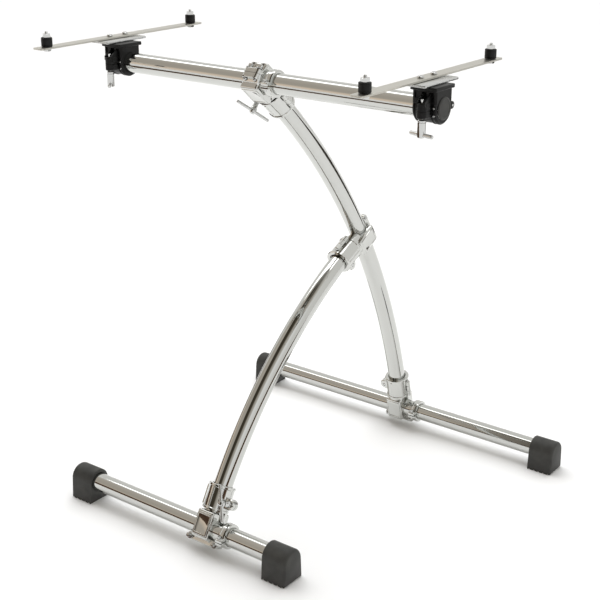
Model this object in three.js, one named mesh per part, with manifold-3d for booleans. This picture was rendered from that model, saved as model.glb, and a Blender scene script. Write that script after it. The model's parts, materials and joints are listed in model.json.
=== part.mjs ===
// Curved-leg tubular rack stand for an electronic vibraphone.
// Millimetres, +Z up, +X along the crossbar, -Y towards the player's side.
// The origin is on the floor, midway between the feet.

import * as THREE from 'three';
import { mergeVertices } from 'three/addons/utils/BufferGeometryUtils.js';
import Module from 'manifold-3d';

// ---------------------------------------------------------------- driving dimensions

// Steel rack tube, 1.5 inch outside diameter.
const TUBE_RADIUS = 19.05;
const TUBE_WALL = 2;

// Free space between pieces that touch on the real stand.
const TOUCH_GAP = 0.35;
const SPLIT_GAP = 0.6;
const CURVE_GAP = 1.3;
const BENT_BORE_GAP = 0.9;

// Where the three level tubes run.
const FOOT_TUBE_Y = 347;
const FOOT_TUBE_Z = 42;
const CROSSBAR_Y = -182;
const CROSSBAR_Z = 892;
const CROSSBAR_ENDS = [-360, 393];
const BACK_FOOT_ENDS = [-414, 414];
const FRONT_FOOT_ENDS = [-352, 214];

// Both legs are bent tubes in one upright plane across the three level tubes.
const LEG_PLANE_X = 7.5;
const LONG_LEG_RADIUS = 1467;
const SHORT_LEG_RADIUS = 1046;
const MID_CLAMP_FRACTION = 0.5;
const LEG_END_INSET = 24;

// Rubber foot blocks.
const FOOT_LENGTH = 56;
const FOOT_BASE_HALF = 28;
const FOOT_DOME_RADIUS = 25.5;
const FOOT_DOME_Z = 43.5;
const FOOT_END_WALL = 10;
const FOOT_NOTCHES = 5;
const FOOT_NOTCH_SIDE = 4.2;

// Plugs in the crossbar's ends.
const PLUG_LENGTH = 14;
const PLUG_FLANGE = 3;
const PLUG_FLANGE_PROUD = 0.25;

// Tee clamps: a split ring round the through tube and a split socket round the leg's end.
const RING_RADIUS = 26;
const RING_HALF = 20;
const PAD_DEPTH = 29;
const PAD_CHAMFER = 6;
const NECK_BOTTOM = 18;
const NECK_TOP = 34;
const SOCKET_RADIUS = 26;
const SOCKET_START = 37;
const SOCKET_END = 88;
const SOCKET_RIM_PROUD = 1.5;
const SOCKET_RIM_LENGTH = 6;
const SOCKET_AIM = 70;
const HINGE_X = 29;
const HINGE_RADIUS = 5;
const HINGE_WEB = 4;
const HINGE_CLEAR_X = -23.3;
const HINGE_ENDS = [41, 80];

// Square-headed key bolts that close each ring.
const KEY_BOLT_Z = -25;
const KEY_BOLT_RADIUS = 3;
const KEY_HEAD_RADIUS = 5.5;
const KEY_HEAD_LENGTH = 9;
const KEY_WASHER_RADIUS = 7;
const KEY_WASHER_LENGTH = 2;
const KEY_POCKET_RADIUS = 8;
const KEY_BOLT_TAIL = 4;
const FLANGE_BOLTS = [-31, 31];
const NARROW_BOLTS = [-11, 11];
const FLANGE_DEPTH = 10;
const FLANGE_HALF_HEIGHT = 7;

// T-handled screws that close each socket.
const SCREW_LUG_RADIUS = 11;
const SCREW_LUG_HALF = 9;
const HANDLE_X = 33;
const HANDLE_Z = 57;
const HANDLE_SHANK_RADIUS = 3.5;
const HANDLE_HUB_RADIUS = 6.5;
const HANDLE_HUB_END = 40;
const HANDLE_BAR_DEPTH = 34;
const HANDLE_BAR_RADIUS = 3;
const HANDLE_BAR_HALF = 37;
const HANDLE_BAR_TURN = THREE.MathUtils.degToRad(-26);

// Memory-lock collars beside the clamps.
const COLLAR_RADIUS = 25;
const COLLAR_HALF = 8;
const COLLAR_EAR_DEPTH = 33;
const COLLAR_EAR_HALF = 7;
const COLLAR_SLIT_HALF = 0.8;
const FOOT_COLLAR_X = LEG_PLANE_X + 49;
const TOP_COLLAR_X = LEG_PLANE_X + 36.5;

// Black plastic rail clamps on the crossbar.
const RAIL_CLAMP_X = [-336, 370.5];
const RAIL_CLAMP_HALF = 22.5;
const RAIL_RING_RADIUS = 27;
const RAIL_HEAD_HALF = [23, 26];
const RAIL_HEAD_BOTTOM = 6;
const RAIL_SEAT_HALF = [25, 30];
const RAIL_SEAT_DEPTH = 7;
const RAIL_HEAD_CHAMFER = 5;
const RAIL_LUG_RADIUS = 9;
const RAIL_LUG_BOTTOM = -12;
const RAIL_LUG_TOP = 14;
const RAIL_HINGE_Y = 33;
const RAIL_KNUCKLE_RADIUS = 6.5;
const RAIL_KNUCKLE_WEB = 5.5;
const RAIL_KNUCKLE_HALF = 8;
const RAIL_KNUCKLE_END = 20;
const RAIL_PIN_RADIUS = 2.2;

// The T-handled screw under each rail clamp.
const RAIL_SCREW_X = 6;
const RAIL_SCREW_Y = -40;
const RAIL_SCREW_RADIUS = 3;
const RAIL_SCREW_TOP = 20;
const SLEEVE_RADIUS = 7;
const SLEEVE_TOP = -14;
const SLEEVE_BOTTOM = -44;
const SLEEVE_BAR_Z = -39;
const SLEEVE_BAR_RADIUS = 3.5;
const SLEEVE_BAR_HALF = 25.5;
const SLEEVE_BAR_TURN = [-53, -12].map(THREE.MathUtils.degToRad);

// Flat rails, the plates under them and the rubber rests on top.
const RAIL_X = [-364, 349];
const RAIL_ENDS = [-374, 76];
const RAIL_WIDTH = 25;
const RAIL_THICKNESS = 4;
const RAIL_CORNER = 5;
const RAIL_TOP = 46;
const REST_INSET = 25;
const PLATE_X = [-15, 34];
const PLATE_Y = [-44, 64];
const PLATE_THICKNESS = 4;
const PLATE_CHAMFER = 3;
const PLATE_BOLT_Y = [-4, 38];
const PLATE_BOLT_RADIUS = 3;
const PLATE_HEAD_RADIUS = 6;
const PLATE_HEAD_HEIGHT = 4;
const REST_RADIUS = 10.5;
const REST_HEIGHT = 17;
const STUD_RADIUS = 3;
const STUD_NUT_RADIUS = 7.5;
const STUD_NUT_HEIGHT = 6.5;
const STUD_TIP = 4;

// Facets round each kind of round shape.
const TUBE_SIDES = 20;
const HUB_SIDES = 16;
const BOLT_SIDES = 10;
const HEX_SIDES = 6;
const LEG_ARC_SEGMENTS = 8;
const LEG_STEPS = 16;
const DOME_SEGMENTS = 6;
const CORNER_SEGMENTS = 2;

// Longer than any piece that a cutting tool has to pass through.
const FAR = 200;

const SIDES = ['left', 'right'];
const RAIL_Z = CROSSBAR_Z + RAIL_TOP;

// ---------------------------------------------------------------- solids and finishes

const wasm = await Module();
wasm.setup();

function solidOf(geometry) {
  geometry.deleteAttribute('normal');
  geometry.deleteAttribute('uv');
  const merged = mergeVertices(geometry, 1e-4);
  const mesh = new wasm.Mesh({
    numProp: 3,
    vertProperties: new Float32Array(merged.attributes.position.array),
    triVerts: new Uint32Array(merged.index.array),
  });
  return new wasm.Manifold(mesh);
}

function geometryOf(solid) {
  const mesh = solid.getMesh();
  const geometry = new THREE.BufferGeometry();
  geometry.setAttribute('position', new THREE.BufferAttribute(mesh.vertProperties, 3));
  geometry.setIndex(new THREE.BufferAttribute(mesh.triVerts, 1));
  geometry.computeVertexNormals();
  return geometry;
}

function join(...solids) {
  return solids.reduce((whole, piece) => whole.add(piece));
}

function cut(solid, ...tools) {
  return tools.reduce((rest, tool) => rest.subtract(tool), solid);
}

// A round bar along x, y or z, from one coordinate to another, through the point given.
function bar(axis, radius, from, to, through = [0, 0, 0], sides = TUBE_SIDES) {
  const geometry = new THREE.CylinderGeometry(radius, radius, to - from, sides);
  if (axis === 'x') geometry.rotateZ(-Math.PI / 2);
  if (axis === 'z') geometry.rotateX(Math.PI / 2);
  const centre = new THREE.Vector3(...through);
  centre[axis] = (from + to) / 2;
  geometry.translate(centre.x, centre.y, centre.z);
  return solidOf(geometry);
}

function block(low, high) {
  const size = high.map((value, i) => value - low[i]);
  const geometry = new THREE.BoxGeometry(...size);
  geometry.translate(...low.map((value, i) => value + size[i] / 2));
  return solidOf(geometry);
}

// A bar with its four long corners cut at 45 degrees, along z or, laid over, along x.
function chamferedBar(axis, low, high, chamfer) {
  const [a, b] = axis === 'z' ? [0, 1] : [1, 2];
  const length = axis === 'z' ? 2 : 0;
  const shape = new THREE.Shape();
  shape.moveTo(low[a] + chamfer, low[b]);
  shape.lineTo(high[a] - chamfer, low[b]);
  shape.lineTo(high[a], low[b] + chamfer);
  shape.lineTo(high[a], high[b] - chamfer);
  shape.lineTo(high[a] - chamfer, high[b]);
  shape.lineTo(low[a] + chamfer, high[b]);
  shape.lineTo(low[a], high[b] - chamfer);
  shape.lineTo(low[a], low[b] + chamfer);
  shape.closePath();
  const depth = high[length] - low[length];
  const geometry = new THREE.ExtrudeGeometry(shape, { depth, bevelEnabled: false });
  geometry.translate(0, 0, low[length]);
  const basis = [a, b, length].map((i) => new THREE.Vector3().setComponent(i, 1));
  geometry.applyMatrix4(new THREE.Matrix4().makeBasis(...basis));
  return solidOf(geometry);
}

const FINISHES = {
  chrome: { color: 0xd9dadb, roughness: 0.08, metalness: 1 },
  rubber: { color: 0x3b3b38, roughness: 0.8, metalness: 0 },
  plastic: { color: 0x141414, roughness: 0.45, metalness: 0 },
  zinc: { color: 0xc9c8c2, roughness: 0.35, metalness: 1 },
  aluminium: { color: 0xd5d0c5, roughness: 0.4, metalness: 1 },
};

function piece(name, shape, finish) {
  const geometry = shape.isBufferGeometry ? shape : geometryOf(shape);
  const mesh = new THREE.Mesh(geometry, new THREE.MeshStandardMaterial(FINISHES[finish]));
  mesh.name = name;
  return mesh;
}

// ---------------------------------------------------------------- level tubes and their ends

function levelTube(name, from, to, y, z) {
  const inner = TUBE_RADIUS - TUBE_WALL;
  const profile = [
    new THREE.Vector2(inner, from),
    new THREE.Vector2(TUBE_RADIUS, from),
    new THREE.Vector2(TUBE_RADIUS, to),
    new THREE.Vector2(inner, to),
    new THREE.Vector2(inner, from),
  ];
  const geometry = new THREE.LatheGeometry(profile, TUBE_SIDES);
  geometry.rotateZ(-Math.PI / 2);
  const tube = piece(name, geometry, 'chrome');
  tube.position.set(0, y, z);
  return tube;
}

// A foot block's outer end is at x = 0 and its tube socket opens towards -X.
function footBlock(name, outerEnd, direction, y) {
  const shape = new THREE.Shape();
  shape.moveTo(-FOOT_BASE_HALF, 0);
  shape.lineTo(FOOT_BASE_HALF, 0);
  shape.lineTo(FOOT_DOME_RADIUS, FOOT_DOME_Z);
  shape.absarc(0, FOOT_DOME_Z, FOOT_DOME_RADIUS, 0, Math.PI, false);
  shape.closePath();
  const geometry = new THREE.ExtrudeGeometry(shape, {
    depth: FOOT_LENGTH,
    bevelEnabled: false,
    curveSegments: DOME_SEGMENTS,
  });
  geometry.applyMatrix4(new THREE.Matrix4().makeBasis(
    new THREE.Vector3(0, 1, 0),
    new THREE.Vector3(0, 0, 1),
    new THREE.Vector3(1, 0, 0),
  ));
  geometry.translate(-FOOT_LENGTH, 0, 0);
  const socket = bar('x', TUBE_RADIUS + TOUCH_GAP, -FAR, -FOOT_END_WALL, [0, 0, FOOT_TUBE_Z]);
  let foot = cut(solidOf(geometry), socket);
  for (let i = 0; i < FOOT_NOTCHES; i += 1) {
    const notch = new THREE.BoxGeometry(FOOT_NOTCH_SIDE, FAR, FOOT_NOTCH_SIDE);
    notch.rotateY(Math.PI / 4);
    notch.translate(-FOOT_LENGTH * (i + 0.5) / FOOT_NOTCHES, 0, 0);
    foot = cut(foot, solidOf(notch));
  }
  const rubberFoot = piece(name, foot, 'rubber');
  rubberFoot.position.set(outerEnd, y, 0);
  if (direction < 0) rubberFoot.rotation.z = Math.PI;
  return rubberFoot;
}

function footAssembly(side, ends, y) {
  const group = new THREE.Group();
  const tubeInset = FOOT_END_WALL + TOUCH_GAP;
  group.add(levelTube(`${side}_foot_tube`, ends[0] + tubeInset, ends[1] - tubeInset, y, FOOT_TUBE_Z));
  group.add(footBlock(`${side}_left_foot`, ends[0], -1, y));
  group.add(footBlock(`${side}_right_foot`, ends[1], 1, y));
  return group;
}

// A plug pressed into a tube's end, with a thin flange over the cut edge. It faces +X.
function endCap(name, x, direction) {
  const inner = TUBE_RADIUS - TUBE_WALL - TOUCH_GAP;
  const cap = piece(name, join(
    bar('x', inner, -PLUG_LENGTH, PLUG_FLANGE / 2),
    bar('x', TUBE_RADIUS + PLUG_FLANGE_PROUD, TOUCH_GAP, PLUG_FLANGE),
  ), 'plastic');
  cap.position.set(x, CROSSBAR_Y, CROSSBAR_Z);
  if (direction < 0) cap.rotation.z = Math.PI;
  return cap;
}

// ---------------------------------------------------------------- bent legs

// The circle through two points in the leg plane, given as [y, z]. The side is +1 when
// the centre lies to the left of the way from start to end.
function arcThrough(start, end, radius, side) {
  const from = new THREE.Vector2(...start);
  const to = new THREE.Vector2(...end);
  const chord = to.clone().sub(from);
  const half = chord.length() / 2;
  const normal = new THREE.Vector2(-chord.y, chord.x).normalize();
  const middle = from.clone().add(to).multiplyScalar(0.5);
  const centre = middle.add(normal.multiplyScalar(side * Math.sqrt(radius * radius - half * half)));
  const startAngle = Math.atan2(from.y - centre.y, from.x - centre.x);
  const endAngle = Math.atan2(to.y - centre.y, to.x - centre.x);
  return { centre, radius, startAngle, endAngle };
}

function pointOnArc(arc, angle) {
  return new THREE.Vector3(
    LEG_PLANE_X,
    arc.centre.x + arc.radius * Math.cos(angle),
    arc.centre.y + arc.radius * Math.sin(angle),
  );
}

class LegCurve extends THREE.Curve {
  constructor(arc, from, to) {
    super();
    this.arc = arc;
    this.from = from;
    this.to = to;
  }

  getPoint(t, target = new THREE.Vector3()) {
    return target.copy(pointOnArc(this.arc, THREE.MathUtils.lerp(this.from, this.to, t)));
  }
}

function bentLeg(name, arc) {
  const inset = LEG_END_INSET / arc.radius;
  const sense = Math.sign(arc.endAngle - arc.startAngle);
  const ring = new THREE.Shape();
  ring.absarc(0, 0, TUBE_RADIUS, 0, 2 * Math.PI, false);
  const bore = new THREE.Path();
  bore.absarc(0, 0, TUBE_RADIUS - TUBE_WALL, 0, 2 * Math.PI, true);
  ring.holes.push(bore);
  const geometry = new THREE.ExtrudeGeometry(ring, {
    steps: LEG_STEPS,
    curveSegments: LEG_ARC_SEGMENTS,
    extrudePath: new LegCurve(arc, arc.startAngle + sense * inset, arc.endAngle - sense * inset),
  });
  return piece(name, solidOf(geometry), 'chrome');
}

// ---------------------------------------------------------------- tee clamps

// Local frame: the through tube lies along X and the leg leaves along +Z. The casting is
// the half on +Y and the jaws are the half on -Y. A form with ringSide -1 has its tube jaw
// on +Y instead, and its casting's ring on -Y. The skew leans the socket about Y.

// All that lies beyond the split line on one side, above the height given.
function halfSpace(sign, from) {
  const near = SPLIT_GAP / 2;
  return block([-FAR, sign > 0 ? near : -FAR, from], [FAR, sign > 0 ? FAR : -near, FAR]);
}

function leaned(solid, form) {
  return solid.transform(new THREE.Matrix4().makeRotationY(form.skew).toArray());
}

function acrossBar(x, z, radius, from, to) {
  return bar('y', radius, from, to, [x, 0, z], HUB_SIDES);
}

function tubeBore(form) {
  return bar('x', form.bore, -FAR, FAR);
}

function legBore(form) {
  return leaned(bar('z', TUBE_RADIUS + CURVE_GAP, 0, FAR), form);
}

function keyBoltHoles(form) {
  return join(...form.bolts.map((x) => acrossBar(x, KEY_BOLT_Z, KEY_BOLT_RADIUS + TOUCH_GAP, -FAR, FAR)));
}

function handleHole(form) {
  return leaned(acrossBar(HANDLE_X, HANDLE_Z, HANDLE_SHANK_RADIUS + TOUCH_GAP, -FAR, FAR), form);
}

// Half of the ring round the through tube, with its flat pad and its bolt flange.
function ringHalf(sign, boltXs) {
  const [low, high] = sign > 0 ? [0, 1] : [-1, 0];
  const flangeEnd = Math.max(...boltXs);
  return join(
    bar('x', RING_RADIUS, -RING_HALF, RING_HALF),
    chamferedBar(
      'x',
      [-RING_HALF, low * PAD_DEPTH, KEY_BOLT_Z + 2],
      [RING_HALF, high * PAD_DEPTH, NECK_TOP],
      PAD_CHAMFER,
    ),
    block(
      [-flangeEnd, low * FLANGE_DEPTH, KEY_BOLT_Z - FLANGE_HALF_HEIGHT],
      [flangeEnd, high * FLANGE_DEPTH, KEY_BOLT_Z + FLANGE_HALF_HEIGHT],
    ),
    ...boltXs.map((x) => acrossBar(x, KEY_BOLT_Z, FLANGE_HALF_HEIGHT, -FLANGE_DEPTH, FLANGE_DEPTH)),
  ).intersect(halfSpace(sign, -FAR));
}

// Half of the socket round the leg's end, with its rim and its screw lug.
function socketHalf(sign, from) {
  return join(
    bar('z', SOCKET_RADIUS, NECK_BOTTOM, SOCKET_END),
    bar('z', SOCKET_RADIUS + SOCKET_RIM_PROUD, SOCKET_END - SOCKET_RIM_LENGTH, SOCKET_END),
    block(
      [0, -SCREW_LUG_HALF, HANDLE_Z - SCREW_LUG_RADIUS],
      [HANDLE_X, SCREW_LUG_HALF, HANDLE_Z + SCREW_LUG_RADIUS],
    ),
    acrossBar(HANDLE_X, HANDLE_Z, SCREW_LUG_RADIUS, -SCREW_LUG_HALF, SCREW_LUG_HALF),
  ).intersect(halfSpace(sign, from));
}

// The hinge runs along the socket, away from the handle, in three equal knuckles. The
// casting has the two outer ones and the jaw has the middle one.
const hingeThird = (HINGE_ENDS[1] - HINGE_ENDS[0]) / 3;
const hingeCuts = [0, 1, 2, 3].map((i) => HINGE_ENDS[0] + i * hingeThird);

function knuckle(i, sign) {
  const web = sign > 0 ? [SPLIT_GAP / 2, HINGE_WEB] : [-HINGE_WEB, -SPLIT_GAP / 2];
  return join(
    bar('z', HINGE_RADIUS, hingeCuts[i], hingeCuts[i + 1], [-HINGE_X, 0, 0], BOLT_SIDES),
    block([-HINGE_X, web[0], hingeCuts[i]], [HINGE_CLEAR_X + 2, web[1], hingeCuts[i + 1]]),
  );
}

function knuckleSpace(i) {
  const beyond = HINGE_X + HINGE_RADIUS + 1;
  return block(
    [-beyond, -HINGE_RADIUS - 1, hingeCuts[i] - SPLIT_GAP],
    [HINGE_CLEAR_X, HINGE_RADIUS + 1, hingeCuts[i + 1] + SPLIT_GAP],
  );
}

function clampBody(name, form) {
  const solids = [ringHalf(form.ringSide, form.bolts), leaned(socketHalf(1, NECK_BOTTOM), form)];
  if (form.ringSide < 0) solids.push(bar('z', SOCKET_RADIUS, NECK_BOTTOM, NECK_TOP));
  const aboveNeck = block([-FAR, -FAR, NECK_TOP], [FAR, SPLIT_GAP / 2, FAR]);
  const casting = join(
    cut(join(...solids), aboveNeck, leaned(knuckleSpace(1), form)),
    leaned(knuckle(0, 1), form),
    leaned(knuckle(2, 1), form),
  );
  const body = cut(casting, tubeBore(form), legBore(form), handleHole(form), keyBoltHoles(form));
  return piece(`${name}_body`, body, 'chrome');
}

// The loose half of the ring, with clear space round the key bolts' heads.
function tubeJaw(name, form) {
  const headSide = form.ringSide < 0 ? [FLANGE_DEPTH, FAR] : [-FAR, -FLANGE_DEPTH];
  const pockets = form.bolts.map((x) => acrossBar(x, KEY_BOLT_Z, KEY_POCKET_RADIUS, ...headSide));
  const top = form.ringSide < 0 ? NECK_BOTTOM - SPLIT_GAP : NECK_TOP;
  const jaw = cut(
    ringHalf(-form.ringSide, form.bolts),
    block([-FAR, -FAR, top], [FAR, FAR, FAR]),
    tubeBore(form),
    legBore(form),
    keyBoltHoles(form),
    ...pockets,
  );
  return piece(`${name}_tube_jaw`, jaw, 'chrome');
}

// The loose half of the socket, hinged on the casting.
function legJaw(name, form) {
  const shell = cut(socketHalf(-1, SOCKET_START), knuckleSpace(0), knuckleSpace(2));
  const jaw = cut(leaned(join(shell, knuckle(1, -1)), form), legBore(form), handleHole(form));
  return piece(`${name}_leg_jaw`, jaw, 'chrome');
}

function keyBolt(name, x, ringSide) {
  const seat = -FLANGE_DEPTH - TOUCH_GAP;
  const bolt = piece(name, join(
    bar('y', KEY_BOLT_RADIUS, seat, FLANGE_DEPTH + KEY_BOLT_TAIL, [0, 0, 0], BOLT_SIDES),
    bar('y', KEY_WASHER_RADIUS, seat - KEY_WASHER_LENGTH, seat, [0, 0, 0], BOLT_SIDES),
    bar('y', KEY_HEAD_RADIUS, seat - KEY_HEAD_LENGTH, seat, [0, 0, 0], 4),
  ), 'chrome');
  bolt.position.set(x, 0, KEY_BOLT_Z);
  if (ringSide < 0) bolt.rotation.x = Math.PI;
  return bolt;
}

// A screw with a round hub and a long bar through it.
function tHandle(name, form) {
  const seat = SCREW_LUG_HALF + TOUCH_GAP;
  const turn = new THREE.Matrix4().makeRotationY(HANDLE_BAR_TURN);
  const along = [0, -HANDLE_BAR_DEPTH, 0];
  const crossHandle = bar('z', HANDLE_BAR_RADIUS, -HANDLE_BAR_HALF, HANDLE_BAR_HALF, along, BOLT_SIDES);
  const handle = piece(name, join(
    bar('y', HANDLE_SHANK_RADIUS, -seat, seat, [0, 0, 0], BOLT_SIDES),
    bar('y', HANDLE_HUB_RADIUS, -HANDLE_HUB_END, -seat, [0, 0, 0], HUB_SIDES),
    crossHandle.transform(turn.toArray()),
  ), 'chrome');
  const lean = new THREE.Matrix4().makeRotationY(form.skew);
  handle.position.set(HANDLE_X, 0, HANDLE_Z).applyMatrix4(lean);
  return handle;
}

function teeClamp(name, form) {
  const group = new THREE.Group();
  group.add(clampBody(name, form));
  group.add(tubeJaw(name, form));
  group.add(legJaw(name, form));
  form.bolts.forEach((x, i) => group.add(keyBolt(`${name}_key_bolt_${i + 1}`, x, form.ringSide)));
  group.add(tHandle(`${name}_handle`, form));
  return group;
}

// Stands a tee clamp at a point, with its leg along one way and its handle facing another.
function standClamp(clamp, point, legWay, handleWay) {
  const yAxis = handleWay.clone().negate();
  const xAxis = new THREE.Vector3().crossVectors(yAxis, legWay);
  clamp.setRotationFromMatrix(new THREE.Matrix4().makeBasis(xAxis, yAxis, legWay));
  clamp.position.copy(point);
  return clamp;
}

// A split ring that locks a clamp's place on its tube.
function memoryCollar(name, x, y, z) {
  const ring = join(
    bar('x', COLLAR_RADIUS, -COLLAR_HALF, COLLAR_HALF),
    block(
      [-COLLAR_HALF, -COLLAR_EAR_DEPTH, -COLLAR_EAR_HALF],
      [COLLAR_HALF, -TUBE_RADIUS, COLLAR_EAR_HALF],
    ),
  );
  const slit = block([-FAR, -FAR, -COLLAR_SLIT_HALF], [FAR, 0, COLLAR_SLIT_HALF]);
  const bore = bar('x', TUBE_RADIUS + TOUCH_GAP, -FAR, FAR);
  const collar = piece(name, cut(ring, bore, slit), 'chrome');
  collar.position.set(x, y, z);
  return collar;
}

// ---------------------------------------------------------------- rail clamps

// Local frame: the crossbar's axis along X, the rail above at +Z, the screw in front.

function railLug() {
  return join(
    block(
      [RAIL_SCREW_X - RAIL_LUG_RADIUS, RAIL_SCREW_Y, RAIL_LUG_BOTTOM],
      [RAIL_SCREW_X + RAIL_LUG_RADIUS, 0, RAIL_LUG_TOP],
    ),
    bar('z', RAIL_LUG_RADIUS, RAIL_LUG_BOTTOM, RAIL_LUG_TOP, [RAIL_SCREW_X, RAIL_SCREW_Y, 0], HUB_SIDES),
  );
}

function railKnuckle(from, to) {
  return join(
    bar('x', RAIL_KNUCKLE_RADIUS, from, to, [0, RAIL_HINGE_Y, 0], HUB_SIDES),
    block([from, 0, -RAIL_KNUCKLE_WEB], [to, RAIL_HINGE_Y, RAIL_KNUCKLE_WEB]),
  );
}

function railClampBore() {
  return join(
    bar('x', TUBE_RADIUS + TOUCH_GAP, -FAR, FAR),
    bar('z', RAIL_SCREW_RADIUS + TOUCH_GAP, -FAR, FAR, [RAIL_SCREW_X, RAIL_SCREW_Y, 0], BOLT_SIDES),
  );
}

// The saddle: the upper half of the ring, the head that the plate sits on, the middle knuckle.
function railClampBody(name) {
  const top = RAIL_TOP - RAIL_THICKNESS - PLATE_THICKNESS - TOUCH_GAP * 2;
  const [headX, headY] = RAIL_HEAD_HALF;
  const [seatX, seatY] = RAIL_SEAT_HALF;
  const upper = join(
    bar('x', RAIL_RING_RADIUS, -RAIL_CLAMP_HALF, RAIL_CLAMP_HALF),
    railLug(),
    chamferedBar('z', [-headX, -headY, RAIL_HEAD_BOTTOM], [headX, headY, top], RAIL_HEAD_CHAMFER),
    chamferedBar('z', [-seatX, -seatY, top - RAIL_SEAT_DEPTH], [seatX, seatY, top], RAIL_HEAD_CHAMFER),
  ).intersect(block([-FAR, -FAR, SPLIT_GAP / 2], [FAR, FAR, FAR]));
  const sideSpace = (from, to) => block(
    [from, TUBE_RADIUS + RAIL_KNUCKLE_RADIUS, -FAR],
    [to, FAR, RAIL_KNUCKLE_RADIUS + 1],
  );
  const saddle = join(
    cut(upper, sideSpace(-FAR, -RAIL_KNUCKLE_HALF), sideSpace(RAIL_KNUCKLE_HALF, FAR)),
    railKnuckle(-RAIL_KNUCKLE_HALF, RAIL_KNUCKLE_HALF),
  );
  const jawSpace = block([-FAR, 0, -FAR], [FAR, TUBE_RADIUS + 4, SPLIT_GAP / 2]);
  const pinHole = bar('x', RAIL_PIN_RADIUS + TOUCH_GAP, -FAR, FAR, [0, RAIL_HINGE_Y, 0], BOLT_SIDES);
  return piece(name, cut(saddle, railClampBore(), pinHole, jawSpace), 'plastic');
}

// The lower half of the ring, with the two outer knuckles and the hinge pin.
function railClampJaw(name) {
  const ring = join(bar('x', RAIL_RING_RADIUS, -RAIL_CLAMP_HALF, RAIL_CLAMP_HALF), railLug());
  const knuckleGap = RAIL_KNUCKLE_HALF + TOUCH_GAP;
  const middleSpace = block([-knuckleGap, TUBE_RADIUS + 4, -FAR], [knuckleGap, FAR, FAR]);
  const above = block([-FAR, -FAR, -SPLIT_GAP / 2], [FAR, TUBE_RADIUS + 7, FAR]);
  const knuckles = join(
    railKnuckle(-RAIL_KNUCKLE_END, -knuckleGap),
    railKnuckle(knuckleGap, RAIL_KNUCKLE_END),
  );
  const upperHalf = block([-FAR, -FAR, -SPLIT_GAP / 2], [FAR, FAR, FAR]);
  const jaw = join(
    cut(join(cut(ring, upperHalf, middleSpace), knuckles), above, railClampBore()),
    bar('x', RAIL_PIN_RADIUS, -RAIL_KNUCKLE_END, RAIL_KNUCKLE_END, [0, RAIL_HINGE_Y, 0], BOLT_SIDES),
  );
  return piece(name, jaw, 'plastic');
}

function railClampScrew(name, barTurn) {
  const turned = new THREE.Matrix4().makeRotationZ(barTurn);
  const along = [0, 0, SLEEVE_BAR_Z];
  const crossBar = bar('x', SLEEVE_BAR_RADIUS, -SLEEVE_BAR_HALF, SLEEVE_BAR_HALF, along, BOLT_SIDES);
  const screw = piece(name, join(
    bar('z', RAIL_SCREW_RADIUS, SLEEVE_TOP, RAIL_SCREW_TOP, [0, 0, 0], BOLT_SIDES),
    bar('z', SLEEVE_RADIUS, SLEEVE_BOTTOM, SLEEVE_TOP, [0, 0, 0], HUB_SIDES),
    crossBar.transform(turned.toArray()),
  ), 'chrome');
  screw.position.set(RAIL_SCREW_X, RAIL_SCREW_Y, 0);
  return screw;
}

function railClamp(side, index) {
  const group = new THREE.Group();
  group.add(railClampBody(`${side}_rail_clamp_body`));
  group.add(railClampJaw(`${side}_rail_clamp_jaw`));
  group.add(railClampScrew(`${side}_rail_clamp_screw`, SLEEVE_BAR_TURN[index]));
  group.position.set(RAIL_CLAMP_X[index], CROSSBAR_Y, CROSSBAR_Z);
  return group;
}

// ---------------------------------------------------------------- rails and rests

// Local frame: the rail's top face at z = 0, its length along Y.

const plateTop = -RAIL_THICKNESS - TOUCH_GAP;
const plateBoltYs = PLATE_BOLT_Y.map((y) => y + CROSSBAR_Y);
const restYs = [RAIL_ENDS[0] + REST_INSET, RAIL_ENDS[1] - REST_INSET];

function uprightHole(y, radius) {
  return bar('z', radius + TOUCH_GAP, -FAR, FAR, [0, y, 0], BOLT_SIDES);
}

function flatRail(name) {
  const x = RAIL_WIDTH / 2 - RAIL_CORNER;
  const [front, back] = [RAIL_ENDS[0] + RAIL_CORNER, RAIL_ENDS[1] - RAIL_CORNER];
  const quarter = Math.PI / 2;
  const shape = new THREE.Shape();
  shape.moveTo(-x - RAIL_CORNER, front);
  shape.absarc(-x, front, RAIL_CORNER, 2 * quarter, 3 * quarter, false);
  shape.absarc(x, front, RAIL_CORNER, 3 * quarter, 4 * quarter, false);
  shape.absarc(x, back, RAIL_CORNER, 0, quarter, false);
  shape.absarc(-x, back, RAIL_CORNER, quarter, 2 * quarter, false);
  const geometry = new THREE.ExtrudeGeometry(shape, {
    depth: RAIL_THICKNESS,
    bevelEnabled: false,
    curveSegments: CORNER_SEGMENTS,
  });
  const rail = piece(name, cut(
    solidOf(geometry),
    ...plateBoltYs.map((y) => uprightHole(y, PLATE_BOLT_RADIUS)),
    ...restYs.map((y) => uprightHole(y, STUD_RADIUS)),
  ), 'aluminium');
  rail.position.z = -RAIL_THICKNESS;
  return rail;
}

function railPlate(name) {
  const plate = chamferedBar(
    'z',
    [PLATE_X[0], PLATE_Y[0] + CROSSBAR_Y, plateTop - PLATE_THICKNESS],
    [PLATE_X[1], PLATE_Y[1] + CROSSBAR_Y, plateTop],
    PLATE_CHAMFER,
  );
  const holes = plateBoltYs.map((y) => uprightHole(y, PLATE_BOLT_RADIUS));
  return piece(name, cut(plate, ...holes), 'zinc');
}

function railBolt(name, y) {
  const bolt = piece(name, join(
    bar('z', PLATE_BOLT_RADIUS, plateTop - PLATE_THICKNESS, PLATE_HEAD_HEIGHT / 2, [0, 0, 0], BOLT_SIDES),
    bar('z', PLATE_HEAD_RADIUS, TOUCH_GAP, PLATE_HEAD_HEIGHT, [0, 0, 0], HUB_SIDES),
  ), 'zinc');
  bolt.position.y = y;
  return bolt;
}

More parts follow.
